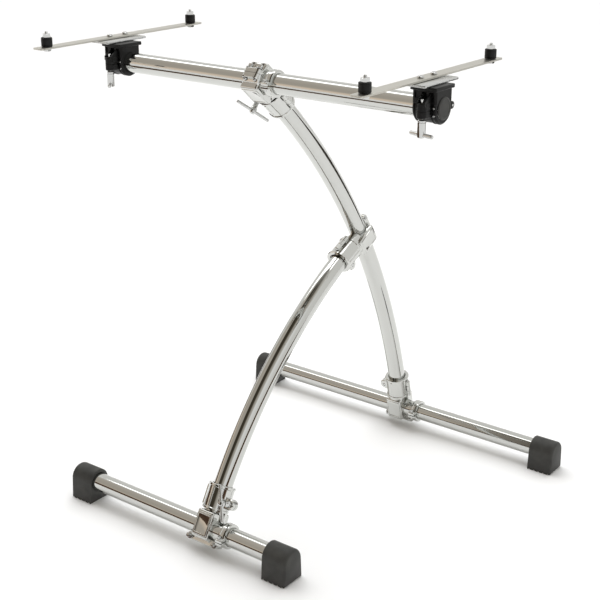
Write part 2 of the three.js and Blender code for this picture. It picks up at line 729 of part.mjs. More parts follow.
function rubberRest(name, y) {
  const rest = piece(name, cut(
    bar('z', REST_RADIUS, TOUCH_GAP, REST_HEIGHT, [0, 0, 0], HUB_SIDES),
    uprightHole(0, STUD_RADIUS),
  ), 'rubber');
  rest.position.y = y;
  return rest;
}

// A stud through the rest and the rail, with a nut on top and one underneath.
function restStud(name, y) {
  const nutLow = REST_HEIGHT + TOUCH_GAP;
  const nutHigh = nutLow + STUD_NUT_HEIGHT;
  const lowerNut = [plateTop - PLATE_THICKNESS, plateTop];
  const stud = piece(name, join(
    bar('z', STUD_RADIUS, lowerNut[0] + 1, nutHigh + STUD_TIP, [0, 0, 0], BOLT_SIDES),
    bar('z', STUD_NUT_RADIUS, nutLow, nutHigh, [0, 0, 0], HEX_SIDES),
    bar('z', STUD_NUT_RADIUS, ...lowerNut, [0, 0, 0], HEX_SIDES),
  ), 'chrome');
  stud.position.y = y;
  return stud;
}

function railAssembly(side, index) {
  const group = new THREE.Group();
  group.add(flatRail(`${side}_rail`));
  group.add(railPlate(`${side}_rail_plate`));
  plateBoltYs.forEach((y, i) => group.add(railBolt(`${side}_rail_bolt_${i + 1}`, y)));
  restYs.forEach((y, i) => {
    const end = ['front', 'back'][i];
    group.add(rubberRest(`${side}_${end}_rest`, y));
    group.add(restStud(`${side}_${end}_rest_stud`, y));
  });
  group.position.set(RAIL_X[index], 0, RAIL_Z);
  return group;
}

// ---------------------------------------------------------------- the stand

const stand = new THREE.Group();

stand.add(footAssembly('front', FRONT_FOOT_ENDS, -FOOT_TUBE_Y));
stand.add(footAssembly('back', BACK_FOOT_ENDS, FOOT_TUBE_Y));

stand.add(levelTube('crossbar_tube', ...CROSSBAR_ENDS, CROSSBAR_Y, CROSSBAR_Z));
stand.add(endCap('crossbar_left_end_cap', CROSSBAR_ENDS[0], -1));
stand.add(endCap('crossbar_right_end_cap', CROSSBAR_ENDS[1], 1));

const backPoint = [FOOT_TUBE_Y, FOOT_TUBE_Z];
const frontPoint = [-FOOT_TUBE_Y, FOOT_TUBE_Z];
const crossbarPoint = [CROSSBAR_Y, CROSSBAR_Z];
const longArc = arcThrough(backPoint, crossbarPoint, LONG_LEG_RADIUS, 1);
const midAngle = THREE.MathUtils.lerp(longArc.startAngle, longArc.endAngle, MID_CLAMP_FRACTION);
const midPoint = pointOnArc(longArc, midAngle);
const shortArc = arcThrough(frontPoint, [midPoint.y, midPoint.z], SHORT_LEG_RADIUS, -1);
stand.add(bentLeg('long_leg_tube', longArc));
stand.add(bentLeg('short_leg_tube', shortArc));

const inLegPlane = ([y, z]) => new THREE.Vector3(LEG_PLANE_X, y, z);
const sideways = new THREE.Vector3(1, 0, 0);
const wideClamp = { ringSide: 1, bolts: FLANGE_BOLTS, bore: TUBE_RADIUS + TOUCH_GAP, skew: 0 };

// The way from a clamp's tube axis to a point a little along the leg's arc.
function wayToLeg(arc, fromEnd) {
  const sense = Math.sign(arc.endAngle - arc.startAngle);
  const step = sense * SOCKET_AIM / arc.radius;
  const start = fromEnd ? arc.endAngle : arc.startAngle;
  const aim = fromEnd ? start - step : start + step;
  return pointOnArc(arc, aim).sub(pointOnArc(arc, start)).normalize();
}

// Back clamp: its handle faces away from the player.
const backLegWay = wayToLeg(longArc, false);
stand.add(standClamp(
  teeClamp('back_clamp', wideClamp),
  inLegPlane(backPoint),
  backLegWay,
  new THREE.Vector3().crossVectors(backLegWay, sideways),
));

// Front clamp: its handle faces the player.
const frontLegWay = wayToLeg(shortArc, false);
stand.add(standClamp(
  teeClamp('front_clamp', wideClamp),
  inLegPlane(frontPoint),
  frontLegWay,
  new THREE.Vector3().crossVectors(sideways, frontLegWay),
));

// Top clamp: its handle hangs under the leg's end, and its ring opens the other way.
const topLegWay = wayToLeg(longArc, true);
stand.add(standClamp(
  teeClamp('top_clamp', { ...wideClamp, ringSide: -1, bolts: NARROW_BOLTS }),
  inLegPlane(crossbarPoint),
  topLegWay,
  new THREE.Vector3().crossVectors(topLegWay, sideways),
));

// Middle clamp: the ring follows the long leg, and the socket leans to meet the short leg.
const longWay = new THREE.Vector3(0, -Math.sin(midAngle), Math.cos(midAngle));
const midLegWay = new THREE.Vector3(0, -Math.cos(midAngle), -Math.sin(midAngle));
const shortWay = wayToLeg(shortArc, true);
const midSkew = Math.atan2(-shortWay.dot(longWay), shortWay.dot(midLegWay));
stand.add(standClamp(
  teeClamp('mid_clamp', { ...wideClamp, bore: TUBE_RADIUS + BENT_BORE_GAP, skew: midSkew }),
  midPoint,
  midLegWay,
  sideways.clone().negate(),
));

stand.add(memoryCollar('front_collar', FOOT_COLLAR_X, -FOOT_TUBE_Y, FOOT_TUBE_Z));
stand.add(memoryCollar('back_collar', FOOT_COLLAR_X, FOOT_TUBE_Y, FOOT_TUBE_Z));
stand.add(memoryCollar('top_collar', TOP_COLLAR_X, CROSSBAR_Y, CROSSBAR_Z));

SIDES.forEach((side, index) => {
  stand.add(railClamp(side, index));
  stand.add(railAssembly(side, index));
});

export default stand;
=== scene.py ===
import json
import math

import bpy
from mathutils import Matrix, Vector


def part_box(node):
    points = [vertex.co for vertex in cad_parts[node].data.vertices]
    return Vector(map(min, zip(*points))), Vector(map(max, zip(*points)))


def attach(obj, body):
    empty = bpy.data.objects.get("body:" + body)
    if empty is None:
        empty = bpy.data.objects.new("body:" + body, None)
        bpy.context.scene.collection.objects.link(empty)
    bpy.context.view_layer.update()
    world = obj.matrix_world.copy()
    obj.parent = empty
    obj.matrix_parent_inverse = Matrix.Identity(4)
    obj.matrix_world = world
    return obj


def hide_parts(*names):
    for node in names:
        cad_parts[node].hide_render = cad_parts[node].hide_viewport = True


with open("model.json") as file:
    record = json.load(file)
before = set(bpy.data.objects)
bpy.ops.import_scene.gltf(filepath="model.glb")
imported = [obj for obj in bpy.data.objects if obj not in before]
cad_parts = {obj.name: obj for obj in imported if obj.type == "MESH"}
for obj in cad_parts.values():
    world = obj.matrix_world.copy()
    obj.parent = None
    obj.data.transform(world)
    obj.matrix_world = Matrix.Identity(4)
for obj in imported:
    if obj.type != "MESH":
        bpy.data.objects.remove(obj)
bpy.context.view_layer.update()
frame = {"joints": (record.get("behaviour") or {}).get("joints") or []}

# ------------------------------------------------------------ camera
# A long lens from the front right and a little above the crossbar, aimed at the middle of
# the stand. The stand fills the square frame from the feet to the instrument rests.
CAMERA_AZIMUTH = math.radians(36.71)
CAMERA_ELEVATION = math.radians(20.75)
CAMERA_ROLL = math.radians(0.31)
CAMERA_DISTANCE = 2.478
CAMERA_AIM = Vector((0, -0.0445, 0.4256))
CAMERA_LENS = 73.15

camera_turn = (Matrix.Rotation(CAMERA_AZIMUTH, 4, "Z")
               @ Matrix.Rotation(math.pi / 2 - CAMERA_ELEVATION, 4, "X")
               @ Matrix.Rotation(CAMERA_ROLL, 4, "Z"))
camera = bpy.data.objects.new("camera", bpy.data.cameras.new("camera"))
camera.data.lens = CAMERA_LENS
camera.matrix_world = Matrix.Translation(CAMERA_AIM) @ camera_turn @ Matrix.Translation((0, 0, CAMERA_DISTANCE))
bpy.context.scene.collection.objects.link(camera)
bpy.context.scene.camera = camera
bpy.context.scene.view_settings.view_transform = "Standard"


# ------------------------------------------------------------ floor and studio light
# A plain white floor that runs out of sight under soft light from above. Chrome shows only
# what stands round it, so the room is a taupe wall in front, a pale one behind, a strip light
# overhead and a low brown skirting that only reflections see.
def linear(hex_colour):
    """A hex sRGB colour as linear red, green, blue and alpha."""
    parts = [int(hex_colour[i:i + 2], 16) / 255 for i in (1, 3, 5)]
    return [p / 12.92 if p <= 0.04045 else ((p + 0.055) / 1.055) ** 2.4 for p in parts] + [1]


def node(owner, kind, inputs=None, stops=(), **settings):
    """Adds a node to a material or world. An input is a value, or the socket that feeds it, and
    stops are a colour ramp's (place, hex colour) pairs."""
    made = owner.node_tree.nodes.new(kind)
    for name, value in settings.items():
        setattr(made, name, value)
    for name, value in (inputs or {}).items():
        if isinstance(value, bpy.types.NodeSocket):
            owner.node_tree.links.new(value, made.inputs[name])
        else:
            made.inputs[name].default_value = value
    if stops:
        elements = made.color_ramp.elements
        elements.remove(elements[1])
        elements[0].position = stops[0][0]
        elements[0].color = linear(stops[0][1])
        for place, hex_colour in stops[1:]:
            elements.new(place).color = linear(hex_colour)
    return made


def blank_material(name):
    material = bpy.data.materials.new(name)
    material.use_nodes = True
    material.node_tree.nodes.clear()
    return material


FLOOR_SIDE = 80
FLOOR_WHITE = "#F2F2F1"
floor_paint = blank_material("white studio floor")
floor_shader = node(floor_paint, "ShaderNodeBsdfPrincipled", {"Base Color": linear(FLOOR_WHITE), "Roughness": 0.7})
node(floor_paint, "ShaderNodeOutputMaterial", {"Surface": floor_shader.outputs["BSDF"]})
bpy.ops.mesh.primitive_plane_add(size=FLOOR_SIDE)
floor = bpy.context.object
floor.name = "floor"
floor.data.materials.append(floor_paint)

world = bpy.context.scene.world or bpy.data.worlds.new("studio")
bpy.context.scene.world = world
world.use_nodes = True
world.node_tree.nodes.clear()
direction = node(world, "ShaderNodeTexCoord").outputs["Generated"]
along = node(world, "ShaderNodeSeparateXYZ", {"Vector": direction})
front_wall = node(world, "ShaderNodeValToRGB", {"Fac": along.outputs["Z"]}, stops=(
    (0.10, "#FBE9D8"), (0.20, "#EFDCC8"), (0.34, "#C1B9AE"), (0.6, "#BFB7AC"), (0.9, "#CEC6BC")))
across = node(world, "ShaderNodeMapRange", {"Value": along.outputs["X"], "From Min": -1.0, "From Max": 1.0})
right_wall = node(world, "ShaderNodeValToRGB", {"Fac": across.outputs["Result"]}, stops=(
    (0.275, "#BFB7AC"), (0.33, "#3F392F"), (0.57, "#4A4439"), (0.64, "#A39C92"), (0.78, "#CFCAC2"),
    (0.84, "#FFFFFF"), (1.0, "#F4F3F0")))
right_share = node(world, "ShaderNodeMapRange", {
    "Value": along.outputs["X"], "From Min": -0.47, "From Max": -0.40})
front_half = node(world, "ShaderNodeMix", {
    "Factor": right_share.outputs["Result"], "A": front_wall.outputs["Color"],
    "B": right_wall.outputs["Color"]}, data_type="RGBA")
back_share = node(world, "ShaderNodeMapRange", {
    "Value": along.outputs["Y"], "From Min": -0.12, "From Max": 0.10})
both_walls = node(world, "ShaderNodeMix", {
    "Factor": back_share.outputs["Result"], "A": front_half.outputs["Result"],
    "B": linear("#EEEDEA")}, data_type="RGBA")
background = node(world, "ShaderNodeBackground", {"Color": both_walls.outputs["Result"], "Strength": 1.0})
node(world, "ShaderNodeOutputWorld", {"Surface": background.outputs["Background"]})

overhead = bpy.data.objects.new("overhead_sun", bpy.data.lights.new("overhead_sun", "SUN"))
overhead.data.energy = 2.1
overhead.data.color = linear("#F8FAFF")[:3]
overhead.data.angle = math.radians(70)
overhead.rotation_euler = (math.radians(-18), math.radians(-22), 0)
overhead.visible_glossy = False
bpy.context.scene.collection.objects.link(overhead)

strip = bpy.data.objects.new("strip_light", bpy.data.lights.new("strip_light", "AREA"))
strip.data.shape = "RECTANGLE"
strip.data.size = 3.0
strip.data.size_y = 0.45
strip.data.energy = 11
strip.location = (-0.9, 0.25, 2.6)
bpy.context.scene.collection.objects.link(strip)

# The skirting is no lamp: it glows but lights nothing, and only reflections see it. It paints a brown reflection, pale
# at its foot, into the chrome.
SKIRTING_RADIUS = 2.0
SKIRTING_HEIGHT = 0.42
skirting_paint = blank_material("painted brown reflection band")
skirting_height = node(skirting_paint, "ShaderNodeSeparateXYZ", {
    "Vector": node(skirting_paint, "ShaderNodeTexCoord").outputs["Object"]}).outputs["Z"]
skirting_share = node(skirting_paint, "ShaderNodeMath", {0: skirting_height, 1: SKIRTING_HEIGHT}, operation="DIVIDE")
skirting_reflection_colour = node(skirting_paint, "ShaderNodeValToRGB", {"Fac": skirting_share.outputs["Value"]}, stops=(
    (0.0, "#A89B8C"), (0.3, "#5F4A39"), (0.65, "#4A372C"), (1.0, "#5C493A")))
skirting_reflection_glow = node(skirting_paint, "ShaderNodeEmission", {"Color": skirting_reflection_colour.outputs["Color"]})
node(skirting_paint, "ShaderNodeOutputMaterial", {"Surface": skirting_reflection_glow.outputs["Emission"]})
bpy.ops.mesh.primitive_cylinder_add(
    vertices=96, radius=SKIRTING_RADIUS, depth=SKIRTING_HEIGHT, end_fill_type="NOTHING",
    location=(0, 0, SKIRTING_HEIGHT / 2))
skirting = bpy.context.object
skirting.name = "skirting"
bpy.ops.object.transform_apply(location=True, rotation=True, scale=True)
bpy.ops.object.mode_set(mode="EDIT")
bpy.ops.mesh.select_all(action="SELECT")
bpy.ops.mesh.bisect(plane_co=(0, 0.9, 0), plane_no=(0, 1, 0), clear_outer=True)
bpy.ops.object.mode_set(mode="OBJECT")
skirting.data.materials.append(skirting_paint)
skirting.visible_camera = False
skirting.visible_diffuse = False
skirting.visible_shadow = False

# A dark card behind the stand that glows and that only reflections see. It lights nothing, casts no shadow and paints a
# dark reflection into the chrome.
FLAG_BACK = 2.0
FLAG_ENDS = (0.42, 1.5)
FLAG_LOW = 0.08
FLAG_HEIGHT = 0.5
reflection_card_paint = blank_material("painted dark reflection card")
reflection_card_glow = node(reflection_card_paint, "ShaderNodeEmission", {"Color": linear("#47433D")})
node(reflection_card_paint, "ShaderNodeOutputMaterial", {"Surface": reflection_card_glow.outputs["Emission"]})
bpy.ops.mesh.primitive_plane_add(
    size=1, location=(sum(FLAG_ENDS) / 2, FLAG_BACK, FLAG_LOW + FLAG_HEIGHT / 2), rotation=(math.pi / 2, 0, 0))
flag = bpy.context.object
flag.name = "flag"
flag.scale = (FLAG_ENDS[1] - FLAG_ENDS[0], FLAG_HEIGHT, 1)
bpy.ops.object.transform_apply(location=True, rotation=True, scale=True)
flag.data.materials.append(reflection_card_paint)
flag.visible_camera = False
flag.visible_diffuse = False
flag.visible_shadow = False

# ------------------------------------------------------------ level tubes
# Three straight lengths of 38.1 mm steel tube, sawn square, deburred, polished and chromed.
# The bright plate is very smooth, with a faint haze and the slightest waviness from polishing.
MM = 0.001
TUBE_RADIUS = 19.05
TUBE_WALL = 2.0
TUBE_EDGE = 0.5
TUBE_SIDES = 96

AXIS_TURNS = {
    "X": Matrix.Rotation(math.pi / 2, 4, "Y"),
    "Y": Matrix.Rotation(-math.pi / 2, 4, "X"),
    "Z": Matrix.Identity(4),
}


def turned(name, outline, axis="Z", through=(0, 0, 0), sides=48, hollow=False):
    """A piece turned on a lathe. The outline is (distance along the axis, radius) in mm, from one
    end to the other; a hollow one comes back along its bore to its first point."""
    (place, radius), *rest = outline
    bpy.ops.object.select_all(action="DESELECT")
    bpy.ops.mesh.primitive_circle_add(
        vertices=sides, radius=radius * MM, location=(0, 0, place * MM),
        fill_type="NOTHING" if hollow else "NGON")
    piece = bpy.context.object
    piece.name = name
    bpy.ops.object.transform_apply(location=True, rotation=True, scale=True)
    bpy.ops.object.mode_set(mode="EDIT")
    bpy.ops.mesh.select_all(action="SELECT")
    for next_place, next_radius in rest:
        bpy.ops.mesh.extrude_region_move(TRANSFORM_OT_translate={"value": (0, 0, (next_place - place) * MM)})
        grow = next_radius / radius
        bpy.ops.transform.resize(value=(grow, grow, 1), center_override=(0, 0, 0))
        place, radius = next_place, next_radius
    bpy.ops.mesh.select_all(action="SELECT")
    bpy.ops.mesh.remove_doubles(threshold=1e-6)
    bpy.ops.mesh.normals_make_consistent(inside=False)
    bpy.ops.object.mode_set(mode="OBJECT")
    piece.data.transform(Matrix.Translation(Vector(through) * MM) @ AXIS_TURNS[axis])
    return piece


def smoothed(piece, angle=32):
    """Smooth shading that keeps every edge sharper than the angle crisp."""
    bpy.ops.object.select_all(action="DESELECT")
    piece.select_set(True)
    bpy.context.view_layer.objects.active = piece
    bpy.ops.object.shade_smooth_by_angle(angle=math.radians(angle))
    return piece


def settled(piece, material, slot, body, *nodes):
    """Gives a finished piece its material and body, and hides the CAD nodes that it stands for."""
    piece.data.materials.clear()
    piece.data.materials.append(material)
    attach(piece, body)
    if nodes:
        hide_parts(*nodes)
    return piece


def chrome(name, plate, wave, wave_height, haze):
    """Bright chrome plate: the plate's colour, the size in mm and the height in mm of the metal's
    waviness under it, and how rough its haze gets."""
    material = blank_material(name)
    place = node(material, "ShaderNodeTexCoord").outputs["Object"]
    waves = node(material, "ShaderNodeTexNoise", {"Vector": place, "Scale": 1000 / wave, "Detail": 1.0})
    bump = node(material, "ShaderNodeBump", {
        "Height": waves.outputs["Fac"], "Strength": 1.0, "Distance": wave_height * MM})
    cloud = node(material, "ShaderNodeTexNoise", {"Vector": place, "Scale": 1000 / 35, "Detail": 4.0})
    rough = node(material, "ShaderNodeMapRange", {
        "Value": cloud.outputs["Fac"], "From Min": 0.35, "From Max": 0.75, "To Min": haze / 3, "To Max": haze})
    shader = node(material, "ShaderNodeBsdfPrincipled", {
        "Base Color": linear(plate), "Metallic": 1.0,
        "Roughness": rough.outputs["Result"], "Normal": bump.outputs["Normal"]})
    node(material, "ShaderNodeOutputMaterial", {"Surface": shader.outputs["BSDF"]})
    return material


chromed_tube = chrome("chrome plate on polished tube", "#C9CAC7", wave=60, wave_height=0.02, haze=0.07)

LEVEL_TUBES = {"front_foot_tube": "front_foot", "back_foot_tube": "back_foot", "crossbar_tube": "crossbar"}
for name, body in LEVEL_TUBES.items():
    low, high = (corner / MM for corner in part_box(name))
    inner = TUBE_RADIUS - TUBE_WALL
    tube = turned(f"{name}_chromed", [
        (low.x, inner), (low.x, TUBE_RADIUS - TUBE_EDGE), (low.x + TUBE_EDGE, TUBE_RADIUS),
        (high.x - TUBE_EDGE, TUBE_RADIUS), (high.x, TUBE_RADIUS - TUBE_EDGE), (high.x, inner), (low.x, inner),
    ], axis="X", through=(0, (low.y + high.y) / 2, (low.z + high.z) / 2), sides=TUBE_SIDES, hollow=True)
    settled(smoothed(tube), chromed_tube, "chromed_tube", body, name)

# ------------------------------------------------------------ bent legs
# Two lengths of the same tube, each bent to one even curve in a roller before it is chromed.
# The long leg runs from the back foot to the crossbar, the short one from the front foot to it.
joint_points = {joint["name"]: Vector(joint["pos_m"]) for joint in frame["joints"] if "pos_m" in joint}
back_point = joint_points["back_foot_turn"]
front_point = joint_points["front_foot_turn"]
top_point = joint_points["crossbar_turn"]
mid_point = joint_points["short_leg_twist"]
long_centre = joint_points["mid_clamp_slide"]
SHORT_LEG_RADIUS = 1.046
LEG_END_INSET = 0.024
LEG_STEPS = 72

short_chord = mid_point - front_point
short_rise = math.sqrt(SHORT_LEG_RADIUS ** 2 - short_chord.length_squared / 4)
short_centre = ((front_point + mid_point) / 2
                + Vector((1, 0, 0)).cross(short_chord).normalized() * -short_rise)


def bend_angle(centre, point):
    return math.atan2(point.z - centre.z, point.y - centre.y)


LEGS = {
    "long_leg_tube": ("long_leg", long_centre, back_point, top_point),
    "short_leg_tube": ("short_leg", short_centre, front_point, mid_point),
}
for name, (body, centre, start, end) in LEGS.items():
    radius = (start - centre).length
    first, last = bend_angle(centre, start), bend_angle(centre, end)
    inset = math.copysign(LEG_END_INSET / radius, last - first)
    first, last = first + inset, last - inset
    place = centre + Vector((0, math.cos(first), math.sin(first))) * radius
    place.x = start.x
    bpy.ops.object.select_all(action="DESELECT")
    bpy.ops.mesh.primitive_circle_add(
        vertices=TUBE_SIDES, radius=TUBE_RADIUS * MM, location=place, rotation=(first, 0, 0))
    leg = bpy.context.object
    leg.name = f"{name}_chromed"
    bpy.ops.object.transform_apply(location=True, rotation=True, scale=True)
    bpy.ops.object.mode_set(mode="EDIT")
    bpy.ops.mesh.select_all(action="SELECT")
    bpy.ops.mesh.spin(steps=LEG_STEPS, angle=first - last, center=centre, axis=(1, 0, 0))
    bpy.ops.mesh.select_all(action="SELECT")
    bpy.ops.mesh.normals_make_consistent(inside=False)
    bpy.ops.object.mode_set(mode="OBJECT")
    wall = leg.modifiers.new("wall", "SOLIDIFY")
    wall.thickness = TUBE_WALL * MM
    wall.offset = -1
    bpy.ops.object.modifier_apply(modifier=wall.name)
    settled(smoothed(leg), chromed_tube, "chromed_tube", body, name)

# ------------------------------------------------------------ rubber feet
# Four moulded blocks of black rubber pushed on the foot tubes' ends. Each is a rounded arch
# with a closed outer end, and its sole has V grooves across it for grip.
FOOT_LENGTH = 56
FOOT_BASE_HALF = 28
FOOT_DOME_RADIUS = 25.5
FOOT_DOME_Z = 43.5
FOOT_MIDDLE_Z = 30
FOOT_SOCKET_RADIUS = 19.35
FOOT_END_WALL = 10
FOOT_GROOVES = 5
FOOT_GROOVE_SIDE = 4.2
# The block's section narrows at both ends, as (distance from the inner end, scale).
FOOT_SECTIONS = [(0, 0.965), (0.5, 0.985), (1.5, 1), (50.5, 1), (52.6, 0.985), (54.4, 0.95), (55.5, 0.905), (56, 0.86)]


def begin(piece):
    """Makes one piece the only selected one."""
    bpy.ops.object.select_all(action="DESELECT")
    piece.select_set(True)
    bpy.context.view_layer.objects.active = piece
    return piece


def pick(piece, test):
    """Goes into edit mode with the vertices selected whose place in mm passes the test."""
    begin(piece)
    bpy.ops.object.mode_set(mode="EDIT")
    bpy.ops.mesh.select_mode(type="VERT")
    bpy.ops.mesh.select_all(action="DESELECT")
    bpy.ops.object.mode_set(mode="OBJECT")
    for vertex in piece.data.vertices:
        vertex.select = test(vertex.co / MM)
    bpy.ops.object.mode_set(mode="EDIT")


def block(name, low, high, rounding=0.0, segments=3):
    """A block between two corners in mm, with every edge rounded when a rounding is given."""
    low, high = Vector(low) * MM, Vector(high) * MM
    bpy.ops.object.select_all(action="DESELECT")
    bpy.ops.mesh.primitive_cube_add(size=1, location=(low + high) / 2, scale=high - low)
    piece = bpy.context.object
    piece.name = name
    bpy.ops.object.transform_apply(location=True, rotation=True, scale=True)
    if rounding:
        bpy.ops.object.mode_set(mode="EDIT")
        bpy.ops.mesh.select_all(action="SELECT")
        bpy.ops.mesh.bevel(offset=rounding * MM, segments=segments, affect="EDGES")
        bpy.ops.object.mode_set(mode="OBJECT")
    return piece


def combine(piece, operation, tools):
    """Joins the tools to a piece, cuts them from it or keeps what they share, and removes them."""
    begin(piece)
    for tool in tools:
        step = piece.modifiers.new("combine", "BOOLEAN")
        step.operation = operation
        step.solver = "EXACT"
        step.object = tool
        bpy.ops.object.modifier_apply(modifier=step.name)
        bpy.data.objects.remove(tool)
    bpy.ops.object.mode_set(mode="EDIT")
    bpy.ops.mesh.select_all(action="SELECT")
    bpy.ops.mesh.remove_doubles(threshold=1e-6)
    bpy.ops.object.mode_set(mode="OBJECT")
    return piece


def joined(piece, *tools):
    return combine(piece, "UNION", tools)


def cut(piece, *tools):
    return combine(piece, "DIFFERENCE", tools)


def copied(piece, name, matrix):
    """A copy with a mesh of its own, placed by a matrix."""
    copy = bpy.data.objects.new(name, piece.data.copy())
    bpy.context.scene.collection.objects.link(copy)
    copy.data.transform(matrix)
    return copy


def matt(name, colour, mottle, rough, grain, grain_height, gloss=0.5):
    """Moulded rubber or plastic: its colour, the paler colour that scuffs and dust give it, how
    rough it is, its grain in mm and the height of that grain in mm, and its specular level."""
    material = blank_material(name)
    place = node(material, "ShaderNodeTexCoord").outputs["Object"]
    dust = node(material, "ShaderNodeTexNoise", {"Vector": place, "Scale": 1000 / 22, "Detail": 6.0})
    tone = node(material, "ShaderNodeValToRGB", {"Fac": dust.outputs["Fac"]}, stops=((0.38, colour), (0.72, mottle)))
    bumps = node(material, "ShaderNodeTexNoise", {"Vector": place, "Scale": 1000 / grain, "Detail": 2.0})
    bump = node(material, "ShaderNodeBump", {
        "Height": bumps.outputs["Fac"], "Strength": 1.0, "Distance": grain_height * MM})
    shine = node(material, "ShaderNodeMapRange", {
        "Value": dust.outputs["Fac"], "To Min": rough - 0.08, "To Max": rough + 0.08})
    shader = node(material, "ShaderNodeBsdfPrincipled", {
        "Base Color": tone.outputs["Color"], "Specular IOR Level": gloss,
        "Roughness": shine.outputs["Result"], "Normal": bump.outputs["Normal"]})
    node(material, "ShaderNodeOutputMaterial", {"Surface": shader.outputs["BSDF"]})
    return material


foot_rubber = matt("moulded black rubber", "#2E2E2C", "#3E3E3B", rough=0.62, grain=1.2, grain_height=0.05)

bpy.ops.object.select_all(action="DESELECT")
bpy.ops.mesh.primitive_circle_add(
    vertices=48, radius=FOOT_DOME_RADIUS * MM, location=(-FOOT_LENGTH * MM, 0, FOOT_DOME_Z * MM),
    rotation=(0, math.pi / 2, 0), fill_type="NGON")
foot = bpy.context.object
bpy.ops.object.transform_apply(location=True, rotation=True, scale=True)
corner = FOOT_DOME_RADIUS * math.cos(2 * math.pi / 48)
pick(foot, lambda place: place.z < FOOT_DOME_Z - 0.1 and abs(place.y) < corner - 0.1)
bpy.ops.mesh.dissolve_verts()
bpy.ops.object.mode_set(mode="OBJECT")
pick(foot, lambda place: place.z < FOOT_DOME_Z - 0.1)
bpy.ops.transform.resize(value=(1, FOOT_BASE_HALF / corner, 0), center_override=(0, 0, 0))
bpy.ops.mesh.select_all(action="SELECT")
reached, size = FOOT_SECTIONS[0]
bpy.ops.transform.resize(value=(1, size, size), center_override=(0, 0, FOOT_MIDDLE_Z * MM))
for place, next_size in FOOT_SECTIONS[1:]:
    bpy.ops.mesh.extrude_region_move(TRANSFORM_OT_translate={"value": ((place - reached) * MM, 0, 0)})
    grow = next_size / size
    bpy.ops.transform.resize(value=(1, grow, grow), center_override=(0, 0, FOOT_MIDDLE_Z * MM))
    reached, size = place, next_size
bpy.ops.mesh.select_all(action="SELECT")
bpy.ops.mesh.normals_make_consistent(inside=False)
bpy.ops.object.mode_set(mode="OBJECT")

foot_tube_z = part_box("front_foot_tube")[0].z / MM + TUBE_RADIUS
socket = turned("socket", [(-70, FOOT_SOCKET_RADIUS), (-FOOT_END_WALL, FOOT_SOCKET_RADIUS)],
                axis="X", through=(0, 0, foot_tube_z))
lip = turned("lip", [(-57, FOOT_SOCKET_RADIUS + 2), (-55, FOOT_SOCKET_RADIUS)], axis="X", through=(0, 0, foot_tube_z))
grooves = []
for i in range(FOOT_GROOVES):
    half = FOOT_GROOVE_SIDE / 2
    groove = block("groove", (-half, -60, -half), (half, 60, half))
    groove.data.transform(Matrix.Translation((-FOOT_LENGTH * (i + 0.5) / FOOT_GROOVES * MM, 0, 0))
                          @ Matrix.Rotation(math.pi / 4, 4, "Y"))
    grooves.append(groove)
cut(foot, socket, lip, *grooves)
smoothed(foot, 30)

for end, name in [(end, f"{end}_{side}_foot") for end in ("front", "back") for side in ("left", "right")]:
    low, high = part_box(name)
    middle_y = (low.y + high.y) / 2
    if "right" in name:
        place = Matrix.Translation((high.x, middle_y, 0))
    else:
        place = Matrix.Translation((low.x, middle_y, 0)) @ Matrix.Rotation(math.pi, 4, "Z")
    settled(copied(foot, f"{name}_moulded", place), foot_rubber, "foot_rubber", f"{end}_foot", name)
bpy.data.objects.remove(foot)

# ------------------------------------------------------------ crossbar end caps
# Moulded plastic plugs knocked into the crossbar's ends. Each has a bevelled flange over the
# sawn edge, a shallow dished face and ribs round the shank that grip the bore.
cap_plastic = matt("moulded grey-black polypropylene", "#2B2B29", "#3A3A37", rough=0.5, grain=0.8, grain_height=0.03)
CAP_RADIUS = TUBE_RADIUS + 0.25
CAP_BORE = TUBE_RADIUS - TUBE_WALL - 0.35
CAP_OUTLINE = [
    (-14, CAP_BORE - 1.5), (-12.5, CAP_BORE), (-9, CAP_BORE), (-8.6, CAP_BORE - 0.6), (-6, CAP_BORE - 0.6),
    (-5.6, CAP_BORE), (0.35, CAP_BORE), (0.35, CAP_RADIUS), (1.4, CAP_RADIUS), (2.5, CAP_RADIUS - 1),
    (3, CAP_RADIUS - 2.4), (3, CAP_RADIUS - 4), (2.4, CAP_RADIUS - 4.6), (2.4, 0.01),
]
crossbar_low, crossbar_high = (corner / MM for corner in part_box("crossbar_tube"))
crossbar_y = (crossbar_low.y + crossbar_high.y) / 2
crossbar_z = (crossbar_low.z + crossbar_high.z) / 2
crossbar_axis = Vector((0, crossbar_y, crossbar_z))
for side, end, turn in [("left", crossbar_low.x, math.pi), ("right", crossbar_high.x, 0)]:
    cap = turned(f"crossbar_{side}_end_cap_moulded", CAP_OUTLINE, axis="X")
    cap.data.transform(Matrix.Translation(Vector((end, crossbar_y, crossbar_z)) * MM) @ Matrix.Rotation(turn, 4, "Z"))
    settled(smoothed(cap), cap_plastic, "black_plastic", "crossbar", f"crossbar_{side}_end_cap")

# ------------------------------------------------------------ tee clamps
# Each clamp is a die-cast zinc casting with two loose jaws, polished and chromed. A ring grips
# the tube that runs through, two square-headed key bolts pull it shut, and a socket with a
# hinged jaw grips the leg's end. Cast metal keeps a soft waviness under its plate.
# Local frame in mm: the through tube lies along X, the leg leaves along +Z, and the casting is
# the half on +Y. The top clamp's ring opens the other way, and the middle clamp's socket leans.
RING_RADIUS = 26
RING_HALF = 20
PAD_DEPTH = 29
NECK_TOP = 34
SOCKET_RADIUS = 26
SOCKET_START = 37
SOCKET_END = 88
SOCKET_BORE = TUBE_RADIUS + 1.3
SPLIT_HALF = 0.3
KEY_BOLT_Z = -25
FLANGE_DEPTH = 10
FLANGE_HALF = 7
LUG_RADIUS = 11
LUG_HALF = 9
HANDLE_X = 33
HANDLE_Z = 57
HINGE_X = -29
HINGE_RADIUS = 5
HINGE_CUTS = [41, 54, 67, 80]
FAR = 200

chromed_casting = chrome("chrome plate on die-cast zinc", "#CDCECB", wave=16, wave_height=0.12, haze=0.11)


